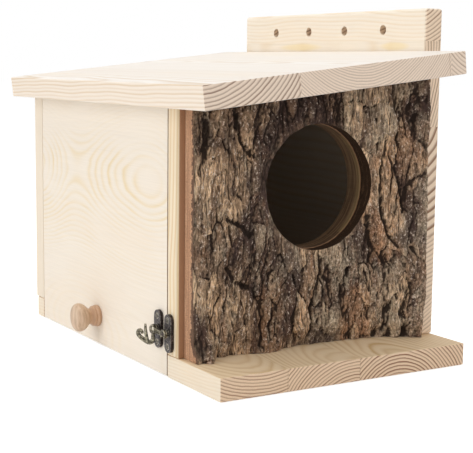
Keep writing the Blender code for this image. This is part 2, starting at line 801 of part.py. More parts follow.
def add_frame_screws(floor, front, rear, back, roof):
    front_middle = (WALL_FACE + WALL_BACK) / 2
    rear_middle = (REAR_INNER + REAR_FACE) / 2
    back_middle = (BACK_INNER + RIGHT) / 2
    down, right = (0, 0, -1), (1, 0, 0)
    places = []
    for share in FLOOR_SCREW_SHARES:
        places.append(((between(LEFT, BACK_INNER, share), front_middle, 0), front))
        places.append(((between(LEFT, RIGHT, share), rear_middle, 0), rear))
    for share in BACK_FLOOR_SCREW_SHARES:
        places.append(((back_middle, between(BACK_NEAR, BACK_FAR, share), 0), back))
    for number, (where, wall) in enumerate(places, 1):
        screw(f"floor_screw_{number}", where, down, SCREW_LENGTH, (floor, wall))
    reach = ROOF_EDGE - (SCREW_LENGTH - BOARD) / 2
    roof_height = roof_underside(reach) + BOARD / math.cos(PITCH) / 2
    places = []
    for share in ROOF_SCREW_SHARES:
        places.append(((RIGHT, between(BACK_NEAR, STRIP_FAR, share), roof_height), roof))
    for share in WALL_SCREW_SHARES:
        places.append(((RIGHT, front_middle, between(WALL_FOOT, wall_top(RIGHT), share)), front))
    for number, (where, piece) in enumerate(places, 1):
        screw(f"back_screw_{number}", where, right, SCREW_LENGTH, (back, piece))
    for number, share in enumerate(WALL_SCREW_SHARES, 1):
        where = (back_middle, REAR_FACE, between(WALL_FOOT, wall_top(RIGHT), share))
        screw(f"rear_screw_{number}", where, (0, 1, 0), SCREW_LENGTH, (rear, back))


def add_bark_screws(front, bark):
    length = BOARD + GAP + BARK_LEAST_THICKNESS * BARK_SCREW_BITE_SHARE
    for number, (across, up) in enumerate(BARK_SCREW_SHARES, 1):
        x = between(LEFT + BARK_SIDE_STEP, ROOF_EDGE, across)
        where = (x, WALL_BACK, between(WALL_FOOT, wall_top(x), up))
        screw(f"bark_screw_{number}", where, (0, 1, 0), length, (front, bark))


def make_house():
    floor = make_floor()
    front = make_wall("front_wall", WALL_FACE, WALL_BACK, ROOF_EDGE)
    rear = make_wall("rear_wall", REAR_INNER, REAR_FACE, RIGHT)
    back = make_back_board()
    roof = make_roof()
    bark = make_bark()
    cut_entry((front, bark))
    door = box("door_panel", (LEFT, DOOR_NEAR, DOOR_LIFT), (DOOR_INNER, DOOR_FAR, DOOR_TOP), PINE)
    round_edges(door, EDGE_ROUND, EDGE_SEGMENTS)

    pivot_pin("pivot_pin_front", WALL_FACE, (0, -1, 0), (front, door))
    pivot_pin("pivot_pin_rear", REAR_FACE, (0, 1, 0), (rear, door))
    add_frame_screws(floor, front, rear, back, roof)
    add_bark_screws(front, bark)

    knob_y = between(DOOR_NEAR, DOOR_FAR, KNOB_FROM_PIN_SHARE)
    knob = make_knob(knob_y)
    where = (DOOR_INNER, knob_y, KNOB_HEIGHT)
    knob_screw = screw("knob_screw", where, (1, 0, 0), KNOB_SCREW_LENGTH, (door, knob))

    plate = make_latch_plate()
    latch_screws = plate_screws("latch_screw", plate, LATCH_Y, LATCH_HEIGHT, door)
    keeper = make_keeper()
    plate_screws("keeper_screw", keeper, KEEPER_Y, KEEPER_HEIGHT, front)
    rivet = make_rivet()
    hook = make_hook()

    for thing in HOUSE.objects:
        smooth(thing)

    door_pivot = make_pivot("door_pivot", (HINGE_X, (DOOR_NEAR + DOOR_FAR) / 2, HINGE_HEIGHT))
    latch_pivot = make_pivot("latch_pivot", on_side(LATCH_Y, LATCH_HEIGHT, HOOK_MIDDLE))
    attach(door_pivot, (door, knob, knob_screw, plate, *latch_screws, rivet, latch_pivot))
    attach(latch_pivot, (hook,))


make_house()
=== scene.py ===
import math

import bmesh
import bpy
import numpy as np
from mathutils import Matrix, Vector


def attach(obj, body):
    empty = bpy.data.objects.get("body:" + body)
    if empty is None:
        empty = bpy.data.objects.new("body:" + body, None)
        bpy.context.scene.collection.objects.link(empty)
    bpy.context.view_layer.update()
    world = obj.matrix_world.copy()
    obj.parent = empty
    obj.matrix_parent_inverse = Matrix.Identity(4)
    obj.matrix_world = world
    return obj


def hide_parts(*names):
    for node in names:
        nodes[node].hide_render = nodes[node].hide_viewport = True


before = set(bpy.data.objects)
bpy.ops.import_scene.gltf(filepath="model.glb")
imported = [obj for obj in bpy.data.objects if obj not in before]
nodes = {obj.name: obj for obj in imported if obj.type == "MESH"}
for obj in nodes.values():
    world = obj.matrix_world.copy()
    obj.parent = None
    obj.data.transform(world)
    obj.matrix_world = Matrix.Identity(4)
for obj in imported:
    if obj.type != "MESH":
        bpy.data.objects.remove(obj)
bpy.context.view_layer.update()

# sizes of the house that several pieces share, in metres
house = {
    "left": -0.116,
    "board": 0.018,
    "gap": 0.0003,
    "wallFace": -0.111,
    "roofEdge": 0.0977,
    "roofHeight": 0.2555,
    "roofPitch": math.radians(6.5),
    "entryRadius": 0.0505,
    "entryOffset": 0.0035,
    "entryHeight": 0.146884,
    "cabinLow": (-0.0985, -0.0935, 0.0175),
    "cabinHigh": (0.0983, 0.1605, 0.235),
}


def roofUnderside(x):
    drop = house["board"] * math.cos(house["roofPitch"])
    return house["roofHeight"] - drop - (house["roofEdge"] - x) * math.tan(house["roofPitch"])


def addObject(name, data):
    thing = bpy.data.objects.new(name, data)
    bpy.context.scene.collection.objects.link(thing)
    return thing


# small helpers for node trees

class Wire:
    # a value in a node tree; reckoning with wires adds the nodes that do it
    def __init__(self, socket):
        self.socket = socket

    def __add__(self, other):
        return maths("ADD", self, other)

    def __sub__(self, other):
        return maths("SUBTRACT", self, other)

    def __mul__(self, other):
        return maths("MULTIPLY", self, other)

    def __truediv__(self, other):
        return maths("DIVIDE", self, other)

    def __lt__(self, other):
        return maths("LESS_THAN", self, other)

    def __gt__(self, other):
        return maths("GREATER_THAN", self, other)

    def __abs__(self):
        return maths("ABSOLUTE", self)

    __radd__, __rmul__ = __add__, __mul__


def addNode(tree, kind, sockets=None, **settings):
    made = tree.nodes.new(kind)
    for key, value in settings.items():
        setattr(made, key, value)
    for key, value in (sockets or {}).items():
        if isinstance(value, Wire):
            tree.links.new(value.socket, made.inputs[key])
        else:
            made.inputs[key].default_value = value
    return made


def wireFrom(tree, kind, sockets=None, output=0, **settings):
    return Wire(addNode(tree, kind, sockets, **settings).outputs[output])


def wired(kind, sockets, output=0, **settings):
    # a node in the tree that its wires come from
    tree = next(value.socket.id_data for value in sockets.values() if isinstance(value, Wire))
    return wireFrom(tree, kind, sockets, output, **settings)


def maths(operation, *values):
    return wired("ShaderNodeMath", dict(enumerate(values)), operation=operation)


def crossDistance(first, second):
    return maths("SQRT", first * first + second * second)


def blend(share, first, second, mode="MIX"):
    first, second = (colour if isinstance(colour, Wire) else (*colour, 1) for colour in (first, second))
    return wired("ShaderNodeMix", {0: share, 6: first, 7: second}, 2, data_type="RGBA", blend_type=mode)


def painted(colour, *layers):
    # each layer is a share and the colour that it lays on top
    for share, over in layers:
        colour = blend(share, colour, over)
    return colour


def rampOf(value, stops, steps=False):
    made = wired("ShaderNodeValToRGB", {0: value})
    ramp = made.socket.node.color_ramp
    ramp.interpolation = "CONSTANT" if steps else "LINEAR"
    while len(ramp.elements) > 1:
        ramp.elements.remove(ramp.elements[-1])
    for number, (position, colour) in enumerate(stops):
        stop = ramp.elements[0] if number == 0 else ramp.elements.new(position)
        stop.position = position
        stop.color = (*colour, 1) if isinstance(colour, tuple) else (colour, colour, colour, 1)
    return made


def noiseOf(place, scales, detail=2.0, roughness=0.5, scale=1.0):
    # scales is one number, or one for each axis
    if isinstance(scales, tuple):
        place = wired("ShaderNodeVectorMath", {0: place, 1: scales}, operation="MULTIPLY")
    else:
        scale = scales
    sockets = {"Vector": place, "Scale": scale, "Detail": detail, "Roughness": roughness}
    return wired("ShaderNodeTexNoise", sockets)


def ranged(value, start=0.0, end=1.0, low=0.0, high=1.0, **settings):
    # start becomes low and end becomes high, and it stays there beyond them
    sockets = {"Value": value, "From Min": start, "From Max": end, "To Min": low, "To Max": high}
    return wired("ShaderNodeMapRange", sockets, **settings)


def between(share, first, second):
    return wired("ShaderNodeMix", {0: share, 2: first, 3: second})


def swinging(noise, reach):
    # the noise moved, to swing round zero
    return noise * (2 * reach) - reach


def axesOf(vector):
    outputs = wired("ShaderNodeSeparateXYZ", {0: vector}).socket.node.outputs
    return {axis: Wire(outputs[axis]) for axis in "XYZ"}


def vectorOf(x, y=0.0, z=0.0):
    return wired("ShaderNodeCombineXYZ", {0: x, 1: y, 2: z})


def toned(colour, tone):
    # the colour made darker or lighter
    return blend(1.0, colour, vectorOf(tone, tone, tone), "MULTIPLY")


def newMaterial(name, **inputs):
    material = bpy.data.materials.new(name)
    material.use_nodes = True
    tree = material.node_tree
    shader = tree.nodes["Principled BSDF"]
    for key, value in inputs.items():
        shader.inputs[key].default_value = value
    return material, shader, wireFrom(tree, "ShaderNodeTexCoord", output="Object")


def finishShader(shader, colour, roughness, height, depth):
    bump = wired("ShaderNodeBump", {"Height": height, "Distance": depth, "Strength": 1.0})
    for name, wire in (("Base Color", colour), ("Roughness", roughness), ("Normal", bump)):
        shader.id_data.links.new(wire.socket, shader.inputs[name])


# camera, at the height and angle of the picture

cameraLook = {
    "place": (-0.5416, -0.8963, 0.2431),
    "azimuth": -31.249,
    "elevation": 7.756,
    "roll": 0.652,
    "lens": 90.69,
}


def makeCamera(look):
    azimuth, elevation, roll = (math.radians(look[key]) for key in ("azimuth", "elevation", "roll"))
    back = Vector((math.sin(azimuth) * math.cos(elevation),
                   -math.cos(azimuth) * math.cos(elevation), math.sin(elevation)))
    right = Vector((math.cos(azimuth), math.sin(azimuth), 0))
    up = back.cross(right)
    side = right * math.cos(roll) + up * math.sin(roll)
    top = up * math.cos(roll) - right * math.sin(roll)
    data = bpy.data.cameras.new("camera")
    data.lens = look["lens"]
    data.sensor_fit = "HORIZONTAL"
    data.clip_start = 0.01
    camera = addObject("camera", data)
    turned = Matrix((side, top, back)).transposed().to_4x4()
    camera.matrix_world = Matrix.Translation(look["place"]) @ turned
    bpy.context.scene.camera = camera


makeCamera(cameraLook)
print("camera is in place")

# studio: white world, pale floor and soft lamps

studio = {
    "worldLight": 0.52,
    "floorColour": 0.86,
    "floorLift": 0.56,
    "floorRadius": 14.0,
    "floorSides": 96,
    "floorDrop": 0.0004,
    "lampTarget": (0, 0, 0.13),
    "lamps": {
        "above": {"place": (-0.3, 0.35, 1.9), "size": 1.5, "power": 14.5},
        "left": {"place": (-1.9, -0.35, 0.75), "size": 1.2, "power": 12.0},
        "front": {"place": (0.5, -1.9, 1.0), "size": 1.2, "power": 9.5},
    },
}


def seenDirectly(tree):
    rays = ("Is Camera Ray", "Is Glossy Ray", "Is Transmission Ray")
    return maths("MINIMUM", sum(wireFrom(tree, "ShaderNodeLightPath", output=ray) for ray in rays), 1.0)


def makeStudio(look):
    scene = bpy.context.scene
    scene.view_settings.view_transform = "Standard"
    world = bpy.data.worlds.new("studio")
    world.use_nodes = True
    scene.world = world
    tree = world.node_tree
    background = tree.nodes["Background"]
    background.inputs["Color"].default_value = (1, 1, 1, 1)
    strength = ranged(seenDirectly(tree), low=look["worldLight"])
    tree.links.new(strength.socket, background.inputs["Strength"])

    for name, lamp in look["lamps"].items():
        data = bpy.data.lights.new(name, "AREA")
        data.size = lamp["size"]
        data.energy = lamp["power"]
        light = addObject(name, data)
        light.location = lamp["place"]
        towards = Vector(look["lampTarget"]) - Vector(lamp["place"])
        light.rotation_euler = towards.to_track_quat("-Z", "Y").to_euler()

    mesh = bpy.data.meshes.new("studio_floor")
    shape = bmesh.new()
    bmesh.ops.create_circle(shape, cap_ends=True, segments=look["floorSides"], radius=look["floorRadius"])
    for vertex in shape.verts:
        vertex.co.z = -look["floorDrop"]
    shape.to_mesh(mesh)
    shape.free()
    floor = addObject("studio_floor", mesh)
    grey = (*[look["floorColour"]] * 3, 1)
    matte = {"Base Color": grey, "Roughness": 1.0, "Specular IOR Level": 0.0}
    material, shader = newMaterial("studio_floor", **matte)[:2]
    tree = material.node_tree
    lift = seenDirectly(tree) * look["floorLift"]
    glow = wired("ShaderNodeEmission", {"Color": (1, 1, 1, 1), "Strength": lift})
    both = wired("ShaderNodeAddShader", {0: Wire(shader.outputs[0]), 1: glow})
    tree.links.new(both.socket, tree.nodes["Material Output"].inputs["Surface"])
    mesh.materials.append(material)


makeStudio(studio)
print("studio is lit")

# pine boards: solid growth rings round each glued strip's pith, so faces and ends agree

pineLook = {
    "pale": (0.88, 0.77, 0.63),
    "line": (0.74, 0.53, 0.28),
    "warm": (0.86, 0.67, 0.45),
    "warmBand": (0.5, 0.8),
    "warmShare": 0.40,
    "endPale": (0.80, 0.62, 0.46),
    "endLine": (0.25, 0.125, 0.065),
    "contrast": 0.7,
    "upperContrast": 0.85,
    "lean": 0.04,
    "wander": 0.006,
    "driftShare": 0.85,
    "ripple": 0.0009,
    "weakestRing": 0.55,
    "waveScales": (7, 7, 5),
    "driftScales": (5, 5, 9),
    "driftScale": 1.7,
    "rippleScales": (70, 70, 16),
    "fibreScales": (1100, 1100, 22),
    "poreScale": 1900.0,
    "cloudScales": (22, 22, 7),
    # painted shade inside the cabin: faces there are darkened towards this brown by this share
    "paintedIndoorShade": (0.20, 0.13, 0.08),
    "paintedIndoorShadeShare": 0.55,
    "resinColour": (0.92, 0.74, 0.40),
    "resinBand": (1.5, 0.9),
    "resinShare": 0.55,
    "glueColour": (0.30, 0.17, 0.09),
    "glueWidth": 0.00022,
    "glueShare": 1.0,
    "glueOnFaces": 0.12,
    "glueOnEnds": 0.47,
    "fibreTones": (0.93, 1.05),
    "poreTones": (0.82, 1.16),
    "roughness": (0.54, 0.74),
    "relief": 0.00009,
    "lateRelief": 0.5,
    "glueRelief": 1.2,
    # how squarely a face looks along the grain to be a cut end, and up or down to be a flat side
    "endBand": (0.55, 0.85),
    "flatBand": (0.6, 0.8),
    # how dark a ring is from its early wood at 0 to its late wood, on the cut ends and on the faces
    "endRing": [(0, 0.10), (0.08, 0.0), (0.45, 0.05), (0.66, 0.65), (0.80, 1.0), (0.92, 0.9), (1.0, 0.10)],
    "faceRing": [(0, 0.25), (0.15, 0.0), (0.45, 0.15), (0.80, 1.0), (1.0, 0.25)],
}

# axes run across the board, through it and along its grain. Each strip: where it starts across the
# board, where its pith lies across and through it at the board's front end, how wide its rings are
# and how dark; lean is how fast the pith drifts onward
pineBoards = {
    "floor_board": {
        "axes": "XZY", "from": -0.175, "lean": 0.07,
        "strips": [(-0.118, -0.076, 0.094, 0.0025, 0.9), (-0.0573, 0.005, -0.043, 0.0026, 1.0),
                   (0.0099, 0.050, -0.036, 0.0028, 1.2)],
        "pale": (0.90, 0.79, 0.64), "line": (0.72, 0.52, 0.29), "contrast": 0.4,
        # the upper side and underside are darker and yellower than the edges, partly the faces' own tone and
        # partly painted shade on the ledge's top
        "flatPale": (0.87, 0.68, 0.455), "flatLine": (0.64, 0.405, 0.17),
        "endPale": (0.81, 0.60, 0.41), "endLine": (0.24, 0.105, 0.050),
    },
    "roof_board": {
        "axes": "XZY", "from": -0.187, "pitch": True,
        "lean": 0.02, "wander": 0.003,
        "strips": [(-0.150, -0.112, 0.298, 0.0031, 1.0), (-0.0337, 0.028, 0.296, 0.0020, 0.55),
                   (0.1072, 0.153, 0.279, 0.0029, 0.7)],
        "pale": (0.91, 0.806, 0.693), "warm": (0.88, 0.77, 0.63), "line": (0.66, 0.45, 0.235),
        "flatPale": (0.88, 0.83, 0.77), "flatLine": (0.67, 0.52, 0.36),
        "endPale": (0.80, 0.65, 0.52), "endLine": (0.20, 0.105, 0.060),
    },
    "back_board": {
        "axes": "ZXY", "from": -0.135, "lean": 0.03, "glueShare": 0.0,
        "strips": [(0.0, 0.130, 0.055, 0.0032, 0.6), (0.050, 0.215, 0.060, 0.0036, 0.6),
                   (0.100, 0.215, 0.060, 0.0066, 1.2),
                   (0.193, 0.262, -0.060, 0.0030, 0.9), (0.2625, 0.335, 0.073, 0.0031, 1.0)],
        "resin": [(0.045, 0.2595, 0.040, 0.0042), (-0.095, 0.2595, 0.022, 0.0042)],
        "pale": (0.92, 0.83, 0.705), "warm": (0.90, 0.74, 0.54),
        "contrast": 0.45, "endPale": (0.83, 0.65, 0.48), "endLine": (0.24, 0.125, 0.065),
    },
    "door_panel": {
        "axes": "ZXY", "from": -0.053, "eye": (0.0100, 0.245), "lean": 0.0,
        "wander": 0.004, "contrast": 0.85, "glueShare": 0.0,
        "fade": (0.145, 0.030, 0.080), "fadeAbove": 1.9, "fadedShare": 0.20,
        "patchy": 0.22, "patchBand": (0.42, 0.58), "patchScales": (17, 17, 11),
        # a painted shadow line in the gap beside the shut door: how wide it is and its colour
        "paintedGapShade": 0.0012, "paintedGapShadeColour": (0.15, 0.068, 0.028),
        "pale": (0.90, 0.81, 0.695), "warm": (0.89, 0.74, 0.58), "line": (0.82, 0.64, 0.35),
        # the door's ends are darker than the other boards' ends, partly end grain and partly painted shade
        # for the gaps round the shut door
        "endPale": (0.56, 0.38, 0.25), "endLine": (0.26, 0.14, 0.08),
        "strips": [(0.0, 0.010, -0.172, 0.0034, 1.0), (0.066, 0.150, -0.071, 0.00278, 1.0)],
    },
    "front_wall": {
        "axes": "XYZ", "from": 0.018, "lean": 0.03, "contrast": 0.95,
        "pale": (0.90, 0.77, 0.58), "line": (0.70, 0.45, 0.17),
        "strips": [(-0.120, -0.110, 0.035, 0.0058, 1.0), (-0.050, 0.02, -0.23, 0.0030, 0.8),
                   (0.030, 0.07, 0.07, 0.0028, 0.8)],
        # the bore, the glued face behind the bark and the edge beside the bark: painted shade in the bore
        # and on the edge, and on the glued face partly its own dark brown and partly painted shade
        "bore": {
            "tones": [(0.36, (0.085, 0.045, 0.022)), (0.52, (0.17, 0.100, 0.052)),
                      (0.66, (0.30, 0.19, 0.105))],
            "streakScales": (26, 620, 26), "reach": 0.0006,
            "rim": (0.42, 0.28, 0.17), "rimShare": 0.55, "rimBand": (0.0018, 0.0004),
            "glued": (0.36, 0.185, 0.095), "gluedDepth": 0.0003,
            "olive": (0.42, 0.29, 0.13), "oliveShare": 0.55, "oliveBand": (0.0065, 0.0005),
        },
    },
    "rear_wall": {
        "axes": "XYZ", "from": 0.018, "lean": 0.06, "contrast": 0.25,
        "strips": [(-0.120, -0.085, 0.255, 0.0032, 0.8), (-0.055, -0.02, 0.085, 0.0026, 0.8),
                   (0.025, 0.06, 0.26, 0.0030, 0.8), (0.085, 0.12, 0.09, 0.0027, 0.8)],
    },
}


def insideBox(place, low, high):
    # 1 within the box and 0 outside it
    bounds = zip(axesOf(place).values(), low, high)
    return math.prod(test for axis, least, most in bounds for test in (axis > least, axis < most))


def stripValues(look, across, through):
    # how far each place is from its strip's pith, and the strip's ring width and darkness; they are
    # read from stepped ramps, moved and grown there to lie between 0 and 1
    shift, grow, past = 0.5, 100, 0.2
    first, last = look["strips"][0][0], look["strips"][-1][0] + past
    position = ranged(across, first, last)
    stops = [((strip[0] - first) / (last - first), strip) for strip in look["strips"]]
    packed = [(at, (strip[1] + shift, strip[2] + shift, strip[3] * grow)) for at, strip in stops]
    pith = axesOf(rampOf(position, packed, True))
    depth = rampOf(position, [(at, strip[4]) for at, strip in stops], True)
    return across - pith["X"] + shift, through - pith["Y"] + shift, pith["Z"] * (1 / grow), depth


def ringShares(look, across, through, along, local):
    # how dark the ring is at each place: crisp for the cut ends and soft for the faces
    sideways, depthways, width, depth = stripValues(look, across, through)
    onward = along - look["from"]
    wander = look["wander"]
    wave = noiseOf(local, look["waveScales"], 1.0)
    drift = noiseOf(local, look["driftScales"], 0.0, scale=look["driftScale"])
    sideways = sideways + swinging(wave, wander)
    depthways = depthways + swinging(drift, wander * look["driftShare"]) + onward * look["lean"]
    if "eye" in look:
        # the trunk swells and narrows along the board, which draws closed loops and saddles on the face
        swell, wavelength = look["eye"]
        depthways = depthways + maths("COSINE", onward * (2 * math.pi / wavelength)) * swell - swell
    ripple = swinging(noiseOf(local, look["rippleScales"]), look["ripple"])
    rings = (crossDistance(sideways, depthways) + ripple) / width
    year = wired("ShaderNodeTexWhiteNoise", {"W": maths("FLOOR", rings)}, noise_dimensions="1D")
    vigour = between(year, look["weakestRing"], 1.0) * depth
    return [rampOf(maths("FRACT", rings), look[ring]) * vigour for ring in ("endRing", "faceRing")]


def fadedFigure(look, soft, across, local):
    # clear at one height, fading below it and sooner above it, and broken off in places
    middle, near, far = look["fade"]
    away = across - middle
    away = maths("MAXIMUM", away * look["fadeAbove"], away * -1.0)
    broken = noiseOf(local, look["patchScales"])
    soft = soft * ranged(away, near, far, 1.0, look["fadedShare"])
    return soft * ranged(broken, *look["patchBand"], look["patchy"], 1.0)


def faceColour(look, across, along, facing, soft, cloud):
    face = blend(soft * look["contrast"], look["pale"], look["line"])
    if "flatPale" in look:
        # the upper side and the underside differ from the edges; on the floor board they are darker, partly
        # painted shade
        flatFace = blend(soft * look["upperContrast"], look["flatPale"], look["flatLine"])
        face = blend(ranged(abs(facing["Z"]), *look["flatBand"]), face, flatFace)
    face = blend(ranged(cloud, *look["warmBand"]) * look["warmShare"], face, look["warm"])
    for middleAlong, middleAcross, reachAlong, reachAcross in look.get("resin", []):
        # a pale yellow resin patch
        first, second = (along - middleAlong) / reachAlong, (across - middleAcross) / reachAcross
        patch = ranged(first * first + second * second + cloud, *look["resinBand"])
        face = blend(patch * look["resinShare"], face, look["resinColour"])
    return face


def paintedBoreShade(look, across, through, along, facing, local, colour):
    # the bore is painted dark brown as shade, with a paler line along its outer edge where the painted shade
    # thins; the glued face is dark, partly its own brown and partly painted shade; and the edge beside the
    # bark is painted darker olive towards the bark, as shade
    inward = through - house["wallFace"]
    away = crossDistance(across - house["entryOffset"], along - house["entryHeight"])
    streaks = noiseOf(local, look["streakScales"], 3.0, 0.6)
    rim = ranged(inward, *look["rimBand"]) * look["rimShare"]
    paintedEdgeShade = ranged(inward, *look["oliveBand"]) * look["oliveShare"] * (facing["X"] < -0.6)
    return painted(colour,
                   (away < house["entryRadius"] + look["reach"],
                    blend(rim, rampOf(streaks, look["tones"]), look["rim"])),
                   (inward < look["gluedDepth"], look["glued"]),
                   (paintedEdgeShade, look["olive"]))


def pineMaterial(name, board, look):
    look = {**look, **board}
    material, shader, place = newMaterial(name)
    facing = axesOf(wireFrom(material.node_tree, "ShaderNodeTexCoord", output="Normal"))
    within = insideBox(place, house["cabinLow"], house["cabinHigh"])
    if look.get("pitch"):
        # only the underside is inside the cabin and gets the painted indoor shade
        within = within * (facing["Z"] < 0.0)
        # turned level, so that the strips run flat
        turn = {"Vector": place, "Rotation": (0, house["roofPitch"], 0)}
        place = wired("ShaderNodeMapping", turn, vector_type="POINT")
    axes = axesOf(place)
    across, through, along = (axes[axis] for axis in look["axes"])
    local = vectorOf(across, through, along)
    late, soft = ringShares(look, across, through, along, local)
    if "fade" in look:
        soft = fadedFigure(look, soft, across, local)

    # fine fibres run along the grain; the cut ends show pores instead
    fibre = noiseOf(local, look["fibreScales"], 3.0)
    pores = noiseOf(local, look["poreScale"])
    cloud = noiseOf(local, look["cloudScales"])
    end = ranged(abs(facing[look["axes"][2]]), *look["endBand"])
    face = faceColour(look, across, along, facing, soft, cloud)
    colour = blend(end, face, blend(late, look["endPale"], look["endLine"]))
    # painted shade in the entry's bore, on the glued face and on the edge beside the bark
    if "bore" in look:
        colour = paintedBoreShade(look["bore"], across, through, along, facing, local, colour)
    if "paintedGapShade" in look:
        # a dark line down the front corner of the door's edge, beside the gap: painted shadow of the gap
        corner = (through < house["left"] + look["paintedGapShade"]) * (facing["Y"] < -0.6)
        colour = blend(corner, colour, look["paintedGapShadeColour"])
    streak, speck = between(fibre, *look["fibreTones"]), between(pores, *look["poreTones"])
    colour = toned(colour, between(end, streak, speck))
    # the cabin's inside is darkened as painted shade
    colour = blend(within * look["paintedIndoorShadeShare"], colour, look["paintedIndoorShade"])

    # a hair-thin glue line where two strips meet
    glue = sum(maths("COMPARE", across, strip[0], look["glueWidth"]) for strip in look["strips"][1:])
    glued = glue * between(end, look["glueOnFaces"], look["glueOnEnds"]) * look["glueShare"]
    colour = blend(glued, colour, look["glueColour"])
    height = between(end, fibre, pores) + late * look["lateRelief"] - glue * look["glueRelief"]
    finishShader(shader, colour, between(fibre, *look["roughness"]), height, look["relief"])
    return material


def dressNode(name, material):
    node = nodes[name]
    node.data.materials.clear()
    node.data.materials.append(material)


for boardName, board in pineBoards.items():
    dressNode(boardName, pineMaterial("pine_" + boardName, board, pineLook))
print("pine boards are grained")

# the bark slab: one closed solid with a fine relief, grown by rule over a coarse layout

